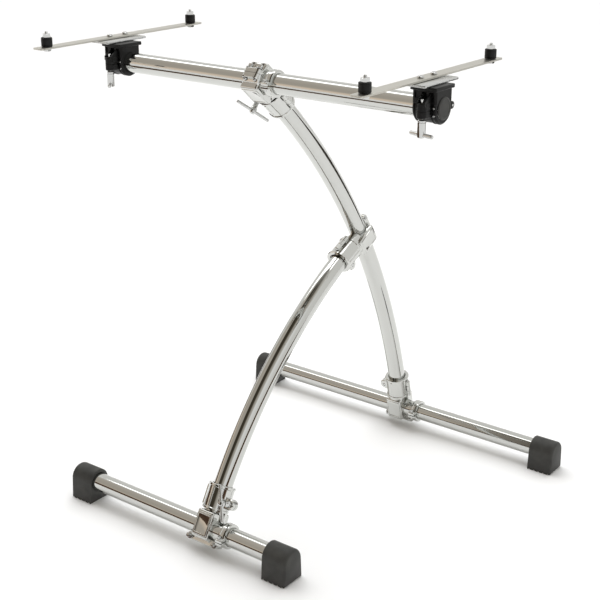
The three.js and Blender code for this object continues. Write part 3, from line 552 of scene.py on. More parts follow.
def both(sign, near, far):
    """The two coordinates in rising order, on the positive or the negative side."""
    return (near, far) if sign > 0 else (-far, -near)


def beyond(sign, start):
    """All that lies past the split line on one side, above the height given."""
    low, high = both(sign, SPLIT_HALF, FAR)
    return block("beyond", (-FAR, low, start), (FAR, high, FAR))


def rod(axis, radius, start, end, through=(0, 0, 0), edge=0.8, sides=48):
    """A round bar with a small bevel at both ends."""
    return turned("rod", [
        (start, radius - edge), (start + edge, radius), (end - edge, radius), (end, radius - edge)],
        axis, through, sides)


def ring_half(sign, bolts):
    """Half of the ring: a barrel, a boxy pad with raised frames, and the bolt flange."""
    y0, y1 = both(sign, -4, PAD_DEPTH - 1.2)
    face0, face1 = both(sign, PAD_DEPTH - 4, PAD_DEPTH)
    flange = both(sign, -4, FLANGE_DEPTH)
    reach = max(bolts)
    pad = block("pad", (-RING_HALF, y0, -21), (RING_HALF, y1, NECK_TOP), rounding=5, segments=5)
    frame_plate = block("frame", (-RING_HALF + 3, face0, -16), (RING_HALF - 3, face1, NECK_TOP - 5), rounding=1.4)
    recess0, recess1 = both(sign, PAD_DEPTH - 1, PAD_DEPTH + 4)
    recess = block("recess", (-RING_HALF + 6, recess0, -12), (RING_HALF - 6, recess1, NECK_TOP - 9), rounding=0.8)
    half = joined(
        rod("X", RING_RADIUS, -RING_HALF, RING_HALF, edge=1.5, sides=96), pad, frame_plate,
        rod("X", RING_RADIUS + 1.2, -RING_HALF + 1.5, -RING_HALF + 5, edge=1, sides=96),
        rod("X", RING_RADIUS + 1.2, RING_HALF - 5, RING_HALF - 1.5, edge=1, sides=96),
        block("flange", (-reach, flange[0], KEY_BOLT_Z - FLANGE_HALF),
              (reach, flange[1], KEY_BOLT_Z + FLANGE_HALF), rounding=1.5))
    for x in bolts:
        joined(half, rod("Y", FLANGE_HALF, *flange, through=(x, 0, KEY_BOLT_Z), edge=1.2))
    cut(half, recess)
    return combine(half, "INTERSECT", [beyond(sign, -FAR)])


def socket_half(sign, start):
    """Half of the socket: a barrel with a proud rim at each end, and the lug for the handle."""
    half = joined(
        rod("Z", SOCKET_RADIUS, 18, SOCKET_END, edge=1, sides=96),
        rod("Z", SOCKET_RADIUS + 1.5, SOCKET_END - 6, SOCKET_END, edge=1.2, sides=96),
        rod("Z", SOCKET_RADIUS + 1.2, SOCKET_START, SOCKET_START + 5, edge=1, sides=96),
        block("web", (0, -LUG_HALF, HANDLE_Z - LUG_RADIUS), (HANDLE_X, LUG_HALF, HANDLE_Z + LUG_RADIUS), rounding=1.5),
        rod("Y", LUG_RADIUS, -LUG_HALF, LUG_HALF, through=(HANDLE_X, 0, HANDLE_Z), edge=1.5),
        rod("Z", 3, 44, SOCKET_END - 7, through=(0, sign * (SOCKET_RADIUS - 1.6), 0), edge=0.8))
    return combine(half, "INTERSECT", [beyond(sign, start)])


def hinge_eye(index, sign):
    """One of the three knuckles of the socket's hinge, with its web."""
    low, high = HINGE_CUTS[index], HINGE_CUTS[index + 1]
    web = both(sign, SPLIT_HALF, 4)
    return joined(
        rod("Z", HINGE_RADIUS, low, high, through=(HINGE_X, 0, 0), edge=0.7, sides=32),
        block("web", (HINGE_X, web[0], low), (-21, web[1], high)))


def eye_space(index):
    return block("space", (-FAR, -6, HINGE_CUTS[index] - 0.6), (-23.3, 6, HINGE_CUTS[index + 1] + 0.6))


def leaned(piece, lean):
    piece.data.transform(Matrix.Rotation(lean, 4, "Y"))
    return piece


def leg_bores(lean):
    """Cutting tools for the leg and for the handle's screw."""
    return [
        leaned(rod("Z", SOCKET_BORE, 0, FAR, sides=96), lean),
        leaned(rod("Y", 3.85, -FAR, FAR, through=(HANDLE_X, 0, HANDLE_Z)), lean)]


def ring_bores(tube_gap, bolts):
    """Cutting tools for the tube that runs through and for the key bolts."""
    return [
        rod("X", TUBE_RADIUS + tube_gap, -FAR, FAR, sides=96),
        *[rod("Y", 3.35, -FAR, FAR, through=(x, 0, KEY_BOLT_Z)) for x in bolts]]


def clamp_castings(ring_side, bolts, tube_gap, lean):
    """The casting, the tube jaw and the leg jaw of one kind of clamp."""
    casting = joined(ring_half(ring_side, bolts), leaned(socket_half(1, 18), lean))
    if ring_side < 0:
        joined(casting, rod("Z", SOCKET_RADIUS, 18, NECK_TOP, edge=1, sides=96))
    above_neck = block("above", (-FAR, -FAR, NECK_TOP), (FAR, SPLIT_HALF, FAR))
    cut(casting, above_neck, leaned(eye_space(1), lean))
    joined(casting, leaned(hinge_eye(0, 1), lean), leaned(hinge_eye(2, 1), lean))
    cut(casting, *ring_bores(tube_gap, bolts), *leg_bores(lean))

    tube_jaw = ring_half(-ring_side, bolts)
    jaw_top = 17.4 if ring_side < 0 else NECK_TOP
    head_side = (FLANGE_DEPTH, FAR) if ring_side < 0 else (-FAR, -FLANGE_DEPTH)
    pockets = [rod("Y", 8, *head_side, through=(x, 0, KEY_BOLT_Z)) for x in bolts]
    cut(tube_jaw, block("above", (-FAR, -FAR, jaw_top), (FAR, FAR, FAR)),
        *ring_bores(tube_gap, bolts), *leg_bores(lean), *pockets)

    leg_jaw = cut(socket_half(-1, SOCKET_START), eye_space(0), eye_space(2))
    joined(leg_jaw, hinge_eye(1, -1))
    leaned(leg_jaw, lean)
    cut(leg_jaw, *leg_bores(lean))
    return {"body": casting, "tube_jaw": tube_jaw, "leg_jaw": leg_jaw}


# The clamps' places come from the handles' joints: each handle's axis is its clamp's local Y.
joint_axes = {joint["name"]: Vector(joint["axis"]).normalized() for joint in frame["joints"]}
mid_leg_way = joint_axes["short_leg_twist"]
mid_ring_way = (long_centre - mid_point).normalized()
wide = {"ring_side": 1, "bolts": (-31, 31), "tube_gap": 0.35, "lean": 0}
mid_lean = math.atan2(Vector((0, -mid_ring_way.z, mid_ring_way.y)).dot(mid_leg_way), mid_ring_way.dot(mid_leg_way))
CLAMPS = {
    "back": (back_point, wide), "front": (front_point, wide),
    "top": (top_point, dict(wide, ring_side=-1, bolts=(-11, 11))),
    "mid": (mid_point, dict(wide, tube_gap=0.9, lean=mid_lean)),
}
LEG_WAYS = {
    "back": joint_axes["back_clamp_twist"], "front": joint_axes["front_clamp_twist"],
    "top": joint_axes["top_clamp_twist"], "mid": mid_ring_way,
}


def clamp_place(name):
    """The matrix from a clamp's local frame to the stand's."""
    y_axis = joint_axes[f"{name}_handle_spin"]
    z_axis = LEG_WAYS[name]
    x_axis = y_axis.cross(z_axis)
    turn = Matrix((x_axis, y_axis, z_axis)).transposed().to_4x4()
    return Matrix.Translation(CLAMPS[name][0]) @ turn


made = {}
for name, (point, form) in CLAMPS.items():
    kind = str(sorted(form.items()))
    if kind not in made:
        made[kind] = {part: smoothed(piece, 35) for part, piece in clamp_castings(**form).items()}
    for part, piece in made[kind].items():
        copy = copied(piece, f"{name}_clamp_{part}_cast", clamp_place(name))
        settled(copy, chromed_casting, "chromed_casting", f"{name}_clamp", f"{name}_clamp_{part}")
for parts in made.values():
    for piece in parts.values():
        bpy.data.objects.remove(piece)

# ------------------------------------------------------------ hinge pins
# A headed steel pin runs down each socket hinge, with a small snap ring under its lower end.
bright_chrome = chrome("bright chrome plate on turned steel", "#CDCECD", wave=30, wave_height=0.01, haze=0.05)
PIN_OUTLINE = [
    (HINGE_CUTS[0] - 2.4, 1.4), (HINGE_CUTS[0] - 2, 2), (HINGE_CUTS[0] - 0.1, 2), (HINGE_CUTS[0] - 0.1, 1.6),
    (HINGE_CUTS[3] + 0.1, 1.6), (HINGE_CUTS[3] + 0.1, 3.6), (HINGE_CUTS[3] + 1.2, 3.4), (HINGE_CUTS[3] + 2, 2.2),
    (HINGE_CUTS[3] + 2.2, 0.01),
]
for name, (point, form) in CLAMPS.items():
    pin = smoothed(turned(f"{name}_clamp_hinge_pin", PIN_OUTLINE, through=(HINGE_X, 0, 0), sides=24))
    leaned(pin, form["lean"])
    pin.data.transform(clamp_place(name))
    settled(pin, bright_chrome, "chromed_fastener", f"{name}_clamp")

# ------------------------------------------------------------ key bolts
# Square-headed bolts, turned with a drum key, that pull each ring shut. Each head has softened
# corners over a round washer, and its threaded tail comes out of the far flange.
KEY_SEAT = -FLANGE_DEPTH - 0.35
KEY_HEAD_HALF = 3.7
KEY_TAIL = FLANGE_DEPTH + 4
THREAD_PITCH = 1.0

thread = []
for i in range(5):
    crest = FLANGE_DEPTH - 1.2 + i * THREAD_PITCH
    thread += [(crest, 2.55), (crest + THREAD_PITCH / 2, 3.0)]
key_bolt = turned("key_bolt", [
    (KEY_SEAT - 2, 5), (KEY_SEAT - 1.7, 6.7), (KEY_SEAT - 0.4, 7), (KEY_SEAT, 6.7), (KEY_SEAT, 3),
    (FLANGE_DEPTH - 2, 3), *thread, (KEY_TAIL, 1.8)], axis="Y", sides=32)
key_head = block("head", (-KEY_HEAD_HALF, KEY_SEAT - 9, -KEY_HEAD_HALF),
                 (KEY_HEAD_HALF, KEY_SEAT - 1.5, KEY_HEAD_HALF), rounding=0.7)
joined(key_bolt, key_head)
smoothed(key_bolt, 30)

for name, (point, form) in CLAMPS.items():
    for i, x in enumerate(form["bolts"]):
        way = Matrix.Rotation(math.pi if form["ring_side"] < 0 else 0, 4, "X")
        place = clamp_place(name) @ Matrix.Translation(Vector((x, 0, KEY_BOLT_Z)) * MM) @ way
        bolt = f"{name}_clamp_key_bolt_{i + 1}"
        settled(copied(key_bolt, f"{bolt}_turned", place), bright_chrome, "chromed_fastener", f"{name}_clamp", bolt)
bpy.data.objects.remove(key_bolt)

# ------------------------------------------------------------ T-handles
# Each socket is tightened by hand with a steel screw in a long flared hub. A round bar with
# softened ends is pressed through the ball at the hub's end.
HANDLE_SEAT = LUG_HALF + 0.35
BAR_DEPTH = 34
BAR_HALF = 37
BAR_TURN = math.radians(-26)
hub = turned("hub", [
    (HANDLE_SEAT, 2.4), (HANDLE_SEAT - 1, 3.5), (-HANDLE_SEAT, 3.5), (-HANDLE_SEAT, 5.9), (-HANDLE_SEAT - 0.6, 6.5),
    (-12, 6.5), (-13, 5.6), (-16, 4.9), (-22, 4.7), (-26, 5), (-28.5, 5.8), (-31, 6.4), (-34, 6.5), (-37, 6.0),
    (-39, 4.6), (-40, 2.4), (-40, 0.01)], axis="Y", sides=48)
bar = turned("bar", [
    (-BAR_HALF, 1.6), (-BAR_HALF + 0.6, 2.5), (-BAR_HALF + 1.6, 3), (BAR_HALF - 1.6, 3), (BAR_HALF - 0.6, 2.5),
    (BAR_HALF, 1.6)], sides=32)
bar.data.transform(Matrix.Translation((0, -BAR_DEPTH * MM, 0)) @ Matrix.Rotation(BAR_TURN, 4, "Y"))
handle = smoothed(joined(hub, bar), 30)
for name, (point, form) in CLAMPS.items():
    lean = Matrix.Rotation(form["lean"], 4, "Y")
    place = (clamp_place(name) @ Matrix.Translation(lean @ Vector((HANDLE_X, 0, HANDLE_Z)) * MM))
    handle_copy = copied(handle, f"{name}_clamp_handle_turned", place)
    settled(handle_copy, bright_chrome, "chromed_fastener", f"{name}_handle", f"{name}_clamp_handle")
bpy.data.objects.remove(handle)

# ------------------------------------------------------------ memory collars
# Split die-cast rings beside the clamps, so that the stand goes back together at the same
# height and width. A small square-headed screw pulls each ring's two ears together.
COLLAR_RADIUS = 25
COLLAR_HALF = 8
COLLAR_EAR_DEPTH = 33
COLLAR_EAR_HALF = 7
COLLAR_BORE = TUBE_RADIUS + 0.35
COLLAR_SCREW_Y = -27.5

collar = joined(
    turned("collar", [(-COLLAR_HALF, 23), (-COLLAR_HALF + 0.6, 24.4), (-COLLAR_HALF + 2, 25), (-3, 25), (-2.2, 24.3),
                      (2.2, 24.3), (3, 25), (COLLAR_HALF - 2, 25), (COLLAR_HALF - 0.6, 24.4), (COLLAR_HALF, 23)],
           axis="X", sides=96),
    block("ear", (-COLLAR_HALF, -COLLAR_EAR_DEPTH, -COLLAR_EAR_HALF), (COLLAR_HALF, -TUBE_RADIUS, COLLAR_EAR_HALF),
          rounding=2.4, segments=4))
cut(collar, rod("X", COLLAR_BORE, -FAR, FAR, sides=96), block("slit", (-FAR, -FAR, -0.8), (FAR, 0, 0.8)))
smoothed(collar, 32)
screw_through = (0, COLLAR_SCREW_Y, 0)
collar_screw = joined(
    turned("collar_screw", [(-10.4, 1.4), (-9.6, 2.1), (-7.2, 2.1), (-7.2, 4), (-6.95, 4.2), (6.95, 4.2), (7.2, 4.4),
                            (7.9, 4.4), (8.1, 4)], through=screw_through, sides=32),
    block("head", (-2.8, COLLAR_SCREW_Y - 2.8, 7.8), (2.8, COLLAR_SCREW_Y + 2.8, 12), rounding=0.6))
cut(collar_screw, block("waist", (-FAR, -FAR, -6.9), (FAR, FAR, 6.9)))
smoothed(collar_screw, 30)
for end, body in [("front", "front_foot"), ("back", "back_foot"), ("top", "crossbar")]:
    low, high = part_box(f"{end}_collar")
    through_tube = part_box({"top": "crossbar_tube"}.get(end, f"{end}_foot_tube"))
    place = Matrix.Translation(((low.x + high.x) / 2, (through_tube[0].y + through_tube[1].y) / 2,
                                (through_tube[0].z + through_tube[1].z) / 2))
    settled(copied(collar, f"{end}_collar_cast", place), chromed_casting, "chromed_casting", body, f"{end}_collar")
    settled(copied(collar_screw, f"{end}_collar_screw", place), bright_chrome, "chromed_fastener", body)
bpy.data.objects.remove(collar)
bpy.data.objects.remove(collar_screw)

# ------------------------------------------------------------ rail clamps
# Moulded saddles of black glass-filled nylon that hold the rails to the crossbar. An upper half
# with a head and a flange under the plate is hinged at the back to a lower jaw, with ribs
# across both halves, lugs for the screw in front and a steel pin through the knuckles.
# Local frame in mm: the crossbar's axis along X, the rail above at +Z, the screw in front.
SADDLE_HALF = 22.5
SADDLE_RADIUS = 27
SADDLE_TOP = 37.3
HEAD_HALF_X = 23
HEAD_HALF_Y = 26
SEAT_HALF_X = 25
SEAT_HALF_Y = 30
SEAT_DEPTH = 7
SCREW_X = 6
SCREW_Y = -40
SCREW_LUG_RADIUS = 9
SCREW_LUG_BOTTOM = -12
SCREW_LUG_TOP = 14
SADDLE_HINGE_Y = 33
KNUCKLE_RADIUS = 6.5
KNUCKLE_HALF = 8
KNUCKLE_END = 20
RIB_PLACES = (-19, -9.5, 12.5, 19)
GUSSET_FRONT = 46
GUSSET_BACK = 18
GUSSET_TOP = 33
GUSSET_WIDTH = 3.2

black_nylon = matt("textured black glass-filled nylon", "#070707", "#101010", rough=0.34, grain=0.7,
                   grain_height=0.03, gloss=0.25)


def screw_lug():
    """The lug in front of the ring, as one block; the split line cuts it later."""
    return joined(
        block("lug", (SCREW_X - SCREW_LUG_RADIUS, SCREW_Y, SCREW_LUG_BOTTOM), (SCREW_X + SCREW_LUG_RADIUS, 0, SCREW_LUG_TOP),
              rounding=1.5),
        rod("Z", SCREW_LUG_RADIUS, SCREW_LUG_BOTTOM, SCREW_LUG_TOP, through=(SCREW_X, SCREW_Y, 0), edge=1.5))


def saddle_knuckle(start, end):
    return joined(
        rod("X", KNUCKLE_RADIUS, start, end, through=(0, SADDLE_HINGE_Y, 0), edge=0.8),
        block("web", (start, 0, -5.5), (end, SADDLE_HINGE_Y, 5.5)))


def ring_ribs(radius):
    """Raised ribs round the ring."""
    return [rod("X", radius, x - 1.3, x + 1.3, edge=0.5, sides=96) for x in RIB_PLACES]


def saddle_bores():
    return [
        rod("X", TUBE_RADIUS + 0.35, -FAR, FAR, sides=96),
        rod("Z", 3.35, -FAR, FAR, through=(SCREW_X, SCREW_Y, 0))]


saddle = joined(
    rod("X", SADDLE_RADIUS - 1.2, -SADDLE_HALF, SADDLE_HALF, edge=1.5, sides=96), *ring_ribs(SADDLE_RADIUS),
    screw_lug(),
    block("head", (-HEAD_HALF_X, -HEAD_HALF_Y, 6), (HEAD_HALF_X, HEAD_HALF_Y, SADDLE_TOP - 2), rounding=4, segments=4),
    block("seat", (-SEAT_HALF_X, -SEAT_HALF_Y, SADDLE_TOP - SEAT_DEPTH), (SEAT_HALF_X, SEAT_HALF_Y, SADDLE_TOP),
          rounding=1.6))
pockets = []
for x in (-13.5, 0, 13.5):
    for side in (-1, 1):
        y0, y1 = both(side, HEAD_HALF_Y - 2.3, FAR)
        pockets.append(block("pocket", (x - 4.4, y0, 17.3), (x + 4.4, y1, SADDLE_TOP - SEAT_DEPTH - 1.7)))
cut(saddle, *pockets)
combine(saddle, "INTERSECT", [block("upper", (-FAR, -FAR, SPLIT_HALF), (FAR, FAR, FAR))])
cut(saddle,
    block("side", (-FAR, 25.5, -FAR), (-KNUCKLE_HALF, FAR, 7.5)),
    block("side", (KNUCKLE_HALF, 25.5, -FAR), (FAR, FAR, 7.5)))
joined(saddle, saddle_knuckle(-KNUCKLE_HALF, KNUCKLE_HALF))
for x in (SCREW_X - 8.4, SCREW_X + 8.4 - GUSSET_WIDTH):
    gusset = block("gusset", (x, -GUSSET_FRONT, 8), (x + GUSSET_WIDTH, -GUSSET_BACK, GUSSET_TOP))
    for vertex in gusset.data.vertices:
        forward = (-vertex.co.y / MM - GUSSET_BACK) / (GUSSET_FRONT - GUSSET_BACK)
        if vertex.co.z > SCREW_LUG_TOP * MM:
            vertex.co.z -= forward * (GUSSET_TOP - SCREW_LUG_TOP - 1.5) * MM
    joined(saddle, gusset)
cut(saddle, *saddle_bores(), rod("X", 2.55, -FAR, FAR, through=(0, SADDLE_HINGE_Y, 0)),
    block("jaw_space", (-FAR, 0, -FAR), (FAR, TUBE_RADIUS + 4, SPLIT_HALF)))
smoothed(saddle, 32)

gap = KNUCKLE_HALF + 0.35
jaw = joined(rod("X", SADDLE_RADIUS - 1.2, -SADDLE_HALF, SADDLE_HALF, edge=1.5, sides=96), *ring_ribs(SADDLE_RADIUS),
             screw_lug())
cut(jaw, block("upper", (-FAR, -FAR, -SPLIT_HALF), (FAR, FAR, FAR)), block("middle", (-gap, 23, -FAR), (gap, FAR, FAR)))
joined(jaw, saddle_knuckle(-KNUCKLE_END, -gap), saddle_knuckle(gap, KNUCKLE_END))
cut(jaw, block("above", (-FAR, -FAR, -SPLIT_HALF), (FAR, TUBE_RADIUS + 7, FAR)), *saddle_bores())
smoothed(jaw, 32)

# A plain steel pin through the knuckles, a hex nut and bolt in the front boss.
saddle_pin = smoothed(turned("saddle_pin", [(-21, 1.8), (-20.6, 2.2), (20.6, 2.2), (21, 1.8)], axis="X",
                             through=(0, SADDLE_HINGE_Y, 0), sides=24))
front_screw = smoothed(joined(
    turned("front_screw", [(-3, 1.4), (0.9, 1.4), (0.9, 2.3), (1.6, 2.1), (2.1, 1.4), (2.2, 0.01)], sides=24),
    turned("nut", [(-3, 2.4), (-2.6, 2.8), (0.2, 2.8), (0.5, 2.5)], sides=6)), 30)
screw_turn = Matrix.Rotation(math.pi / 2, 4, "X")

saddle_places = {}
for side in ("left", "right"):
    low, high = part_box(f"{side}_rail_clamp_jaw")
    place = Matrix.Translation(((low.x + high.x) / 2, crossbar_y * MM, crossbar_z * MM))
    saddle_places[side] = place
    clamp = f"{side}_rail_clamp"
    settled(copied(saddle, f"{clamp}_body_moulded", place), black_nylon, "black_plastic", f"{side}_rail", f"{clamp}_body")
    settled(copied(jaw, f"{clamp}_jaw_moulded", place), black_nylon, "black_plastic", f"{side}_rail", f"{clamp}_jaw")
    settled(copied(saddle_pin, f"{clamp}_pin", place), bright_chrome, "chromed_fastener", f"{side}_rail")
    for i, (x, z) in enumerate([(18.2, -9), (18.2, 3)]):
        depth = math.sqrt((SADDLE_RADIUS - 1.2) ** 2 - z ** 2) - 0.6
        at = place @ Matrix.Translation(Vector((x, -depth, z)) * MM) @ screw_turn
        settled(copied(front_screw, f"{clamp}_front_screw_{i + 1}", at), bright_chrome, "chromed_fastener", f"{side}_rail")
for piece in (saddle, jaw, saddle_pin, front_screw):
    bpy.data.objects.remove(piece)

# ------------------------------------------------------------ rail clamp screws
# Each rail clamp is tightened from below with a chromed sleeve nut on a long screw. A short
# bar with rounded ends goes through the sleeve's foot.
SLEEVE_TOP = -14
SLEEVE_BOTTOM = -44
SLEEVE_RADIUS = 7
SLEEVE_BAR_Z = -39
SLEEVE_BAR_HALF = 25.5
SLEEVE_BAR_TURNS = {"left": math.radians(-53), "right": math.radians(-12)}
SLEEVE_OUTLINE = [
    (20, 2.2), (19.3, 3), (SLEEVE_TOP + 0.8, 3), (SLEEVE_TOP + 0.8, 5.2), (SLEEVE_TOP, 6), (SLEEVE_TOP - 1, SLEEVE_RADIUS),
    (SLEEVE_TOP - 3, SLEEVE_RADIUS), (SLEEVE_TOP - 3.5, 6), (SLEEVE_TOP - 4.5, 6), (SLEEVE_TOP - 5, SLEEVE_RADIUS),
    (SLEEVE_BOTTOM + 1.5, SLEEVE_RADIUS), (SLEEVE_BOTTOM + 0.4, 5.6), (SLEEVE_BOTTOM, 4.6), (SLEEVE_BOTTOM, 2.4),
    (SLEEVE_BOTTOM + 1.2, 2), (SLEEVE_BOTTOM + 1.2, 0.01),
]
for side, turn in SLEEVE_BAR_TURNS.items():
    screw = turned(f"{side}_rail_clamp_screw_turned", SLEEVE_OUTLINE, sides=48)
    bar = turned("bar", [
        (-SLEEVE_BAR_HALF, 1.6), (-SLEEVE_BAR_HALF + 0.6, 2.6), (-SLEEVE_BAR_HALF + 1.6, 3.3),
        (-SLEEVE_BAR_HALF + 2.6, 3.5), (SLEEVE_BAR_HALF - 2.6, 3.5), (SLEEVE_BAR_HALF - 1.6, 3.3),
        (SLEEVE_BAR_HALF - 0.6, 2.6), (SLEEVE_BAR_HALF, 1.6)], axis="X", sides=32)
    bar.data.transform(Matrix.Translation((0, 0, SLEEVE_BAR_Z * MM)) @ Matrix.Rotation(turn, 4, "Z"))
    joined(screw, bar)
    screw.data.transform(saddle_places[side] @ Matrix.Translation(Vector((SCREW_X, SCREW_Y, 0)) * MM))
    settled(smoothed(screw, 30), bright_chrome, "chromed_fastener", f"{side}_rail_screw", f"{side}_rail_clamp_screw")

# ------------------------------------------------------------ flat rails
# Two flat bars of extruded aluminium with rounded ends, brushed along their length and clear
# anodised to a warm satin grey. The sawn ends and drilled holes have a slight break.
RAIL_CORNER = 5
RAIL_EDGE = 0.5


def brushed(name, colour, streak, rough, spread, line, line_height, along):
    """Brushed or rolled metal: two colours along the grain, its roughness and how much that
    varies, and the lines' spacing and height in mm. Along is the axis that the grain follows."""
    material = blank_material(name)
    place = node(material, "ShaderNodeTexCoord").outputs["Object"]
    stretch = [1.0, 1.0, 1.0]
    stretch["XYZ".index(along)] = 0.02
    grain_place = node(material, "ShaderNodeMapping", {"Vector": place, "Scale": stretch})
    lines = node(material, "ShaderNodeTexNoise", {
        "Vector": grain_place.outputs["Vector"], "Scale": 1000 / line, "Detail": 3.0})
    tone = node(material, "ShaderNodeValToRGB", {"Fac": lines.outputs["Fac"]}, stops=((0.35, colour), (0.68, streak)))
    bump = node(material, "ShaderNodeBump", {
        "Height": lines.outputs["Fac"], "Strength": 1.0, "Distance": line_height * MM})
    cloud = node(material, "ShaderNodeTexNoise", {"Vector": place, "Scale": 1000 / 40, "Detail": 3.0})
    shine = node(material, "ShaderNodeMapRange", {
        "Value": cloud.outputs["Fac"], "To Min": rough - spread, "To Max": rough + spread})
    shader = node(material, "ShaderNodeBsdfPrincipled", {
        "Base Color": tone.outputs["Color"], "Metallic": 1.0, "Roughness": shine.outputs["Result"],
        "Normal": bump.outputs["Normal"]})
    node(material, "ShaderNodeOutputMaterial", {"Surface": shader.outputs["BSDF"]})
    return material


satin_aluminium = brushed("satin anodised brushed aluminium", "#CFCDC5", "#C2C0B8", rough=0.36, spread=0.05,
                          line=1.6, line_height=0.03, along="Y")

for side in ("left", "right"):
    low, high = (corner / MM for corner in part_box(f"{side}_rail"))
    rail = block(f"{side}_rail_bar", low, high)
    begin(rail)
    bpy.ops.object.mode_set(mode="EDIT")
    bpy.ops.mesh.select_mode(type="EDGE")
    bpy.ops.mesh.select_all(action="DESELECT")
    bpy.ops.object.mode_set(mode="OBJECT")
    for edge in rail.data.edges:
        a, b = (rail.data.vertices[i].co for i in edge.vertices)
        edge.select = abs(a.z - b.z) > 1e-4
    bpy.ops.object.mode_set(mode="EDIT")
    bpy.ops.mesh.bevel(offset=RAIL_CORNER * MM, segments=10, affect="EDGES")
    bpy.ops.mesh.select_mode(type="FACE")
    bpy.ops.mesh.select_all(action="DESELECT")
    bpy.ops.object.mode_set(mode="OBJECT")
    for face in rail.data.polygons:
        face.select = abs(face.normal.z) > 0.9
    bpy.ops.object.mode_set(mode="EDIT")
    bpy.ops.mesh.inset(thickness=RAIL_EDGE * MM, use_even_offset=True, use_individual=True)
    bpy.ops.mesh.select_mode(type="VERT")
    bpy.ops.object.mode_set(mode="OBJECT")
    for vertex in rail.data.vertices:
        vertex.select = not vertex.select
    bpy.ops.object.mode_set(mode="EDIT")
    flat = (high.z - low.z - 2 * RAIL_EDGE) / (high.z - low.z)
    bpy.ops.transform.resize(value=(1, 1, flat), center_override=(0, 0, (low.z + high.z) / 2 * MM))
    bpy.ops.object.mode_set(mode="OBJECT")
    for name in (f"{side}_rail_bolt_1", f"{side}_rail_bolt_2"):
        bolt_low, bolt_high = (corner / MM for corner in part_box(name))
        middle = (bolt_low + bolt_high) / 2
        cut(rail, rod("Z", 3.35, -FAR * 10, FAR * 10, through=(middle.x, middle.y, 0), sides=32))
    settled(smoothed(rail), satin_aluminium, "satin_aluminium", f"{side}_rail", f"{side}_rail")

# ------------------------------------------------------------ rail plates
# A stamped steel plate under each rail spreads its load on the clamp's head. It is bright zinc
# plated, with cropped corners and a rounded die edge.
zinc_plate = brushed("bright zinc plate on stamped steel", "#D2D3D2", "#C2C4C4", rough=0.26, spread=0.06,
                     line=3.0, line_height=0.015, along="X")
PLATE_CORNER = 3
PLATE_EDGE = 0.6
for side in ("left", "right"):
    low, high = (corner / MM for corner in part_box(f"{side}_rail_plate"))
    plate = block(f"{side}_rail_plate_stamped", low, high)
    begin(plate)
    bpy.ops.object.mode_set(mode="EDIT")
    bpy.ops.mesh.select_mode(type="EDGE")
    bpy.ops.mesh.select_all(action="DESELECT")
    bpy.ops.object.mode_set(mode="OBJECT")
    for edge in plate.data.edges:
        a, b = (plate.data.vertices[i].co for i in edge.vertices)
        edge.select = abs(a.z - b.z) > 1e-4
    bpy.ops.object.mode_set(mode="EDIT")
    bpy.ops.mesh.bevel(offset=PLATE_CORNER * MM, segments=2, affect="EDGES")
    bpy.ops.mesh.select_all(action="SELECT")
    bpy.ops.object.mode_set(mode="OBJECT")
    rounding = plate.modifiers.new("rounding", "BEVEL")
    rounding.width = PLATE_EDGE * MM
    rounding.segments = 2
    rounding.limit_method = "ANGLE"
    rounding.angle_limit = math.radians(60)
    bpy.ops.object.modifier_apply(modifier=rounding.name)
    settled(smoothed(plate), zinc_plate, "zinc_plate", f"{side}_rail", f"{side}_rail_plate")

# ------------------------------------------------------------ rail bolts
# Two button-headed socket bolts hold each rail to its plate and clamp.
HEAD_RADIUS = 6
HEAD_HEIGHT = 4
DOME_STEPS = 6
for side in ("left", "right"):
    for name in (f"{side}_rail_bolt_1", f"{side}_rail_bolt_2"):
        low, high = (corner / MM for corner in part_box(name))
        seat = high.z - HEAD_HEIGHT
        dome = []
        for i in range(DOME_STEPS):
            angle = math.pi / 2 * i / DOME_STEPS
            dome.append((seat + 1 + (HEAD_HEIGHT - 1) * math.sin(angle), HEAD_RADIUS * math.cos(angle * 0.85)))
        middle = (low + high) / 2
        bolt = turned(f"{name}_turned", [
            (low.z, 2.4), (low.z + 0.6, 3), (seat + 0.35, 3), (seat + 0.35, HEAD_RADIUS - 0.4), *dome],
            through=(middle.x, middle.y, 0), sides=40)
        key = turned("key", [(high.z - 1.8, 1.9), (high.z + 2, 1.9)], through=(middle.x, middle.y, 0), sides=6)
        cut(bolt, key)
        settled(smoothed(bolt, 35), zinc_plate, "zinc_plate", f"{side}_rail", name)

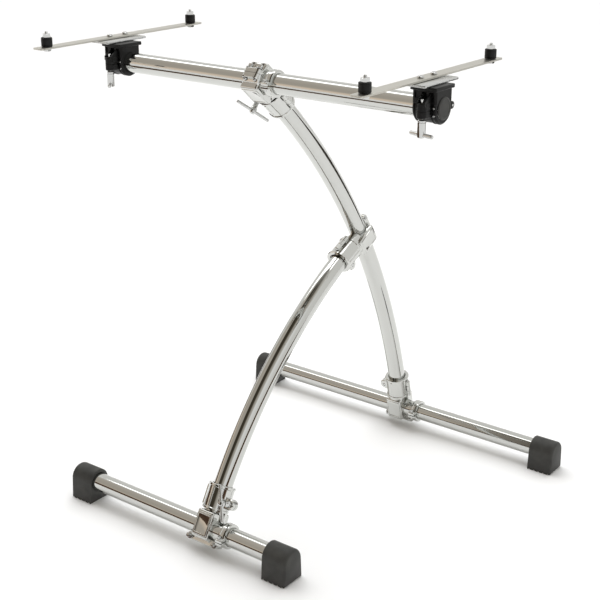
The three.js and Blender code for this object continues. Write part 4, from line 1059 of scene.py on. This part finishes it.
# ------------------------------------------------------------ rubber rests
# Four turned rubber bushes that the instrument's frame sits down on. Each has a slight waist
# line near both ends and a steel stud through its middle.
rest_rubber = matt("moulded black rest rubber", "#0B0B0B", "#151514", rough=0.5, grain=0.9, grain_height=0.04,
                   gloss=0.3)
REST_RADIUS = 10.5
REST_BORE = 3.35
for name in [f"{side}_{end}_rest" for side in ("left", "right") for end in ("front", "back")]:
    low, high = (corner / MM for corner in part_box(name))
    middle = (low + high) / 2
    rest = turned(f"{name}_moulded", [
        (low.z, REST_BORE), (low.z, REST_RADIUS - 0.8), (low.z + 0.8, REST_RADIUS), (low.z + 2.4, REST_RADIUS),
        (low.z + 2.8, REST_RADIUS - 0.4), (low.z + 3.2, REST_RADIUS), (high.z - 3.2, REST_RADIUS),
        (high.z - 2.8, REST_RADIUS - 0.4), (high.z - 2.4, REST_RADIUS), (high.z - 1, REST_RADIUS),
        (high.z - 0.3, REST_RADIUS - 0.4), (high.z, REST_RADIUS - 1.2), (high.z, REST_BORE), (low.z, REST_BORE)],
        through=(middle.x, middle.y, 0), sides=64, hollow=True)
    settled(smoothed(rest, 35), rest_rubber, "rest_rubber", name.split("_")[0] + "_rail", name)

# ------------------------------------------------------------ rest studs
# A threaded stud goes up through each rail and rest, with a hex nut on top and one under the
# rail. The nuts have turned-down corners and the stud's tip is left proud.
NUT_RADIUS = 7.5
NUT_HEIGHT = 6.5
STUD_TIP = 4
LOWER_NUT_HEIGHT = 4
for name in [f"{side}_{end}_rest_stud" for side in ("left", "right") for end in ("front", "back")]:
    low, high = (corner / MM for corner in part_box(name))
    middle = (low + high) / 2
    through = (middle.x, middle.y, 0)
    tip = []
    for i in range(3):
        tip += [(high.z - 3.2 + i, 2.55), (high.z - 2.7 + i, 3)]
    stud = turned(f"{name}_turned", [(low.z + 1, 2.6), (low.z + 1.4, 3), *tip, (high.z, 2.2)], through=through, sides=32)
    nuts = []
    upper_nut = (high.z - STUD_TIP - NUT_HEIGHT, high.z - STUD_TIP)
    for start, end in [upper_nut, (low.z, low.z + LOWER_NUT_HEIGHT)]:
        nut = turned("nut", [(start, NUT_RADIUS), (end, NUT_RADIUS)], through=through, sides=6)
        chamfer = turned("chamfer", [
            (start, NUT_RADIUS - 0.9), (start + 0.6, NUT_RADIUS + 0.1), (end - 0.6, NUT_RADIUS + 0.1),
            (end, NUT_RADIUS - 0.9)], through=through)
        nuts.append(combine(nut, "INTERSECT", [chamfer]))
    joined(stud, *nuts)
    settled(smoothed(stud, 30), bright_chrome, "chromed_fastener", name.split("_")[0] + "_rail", name)
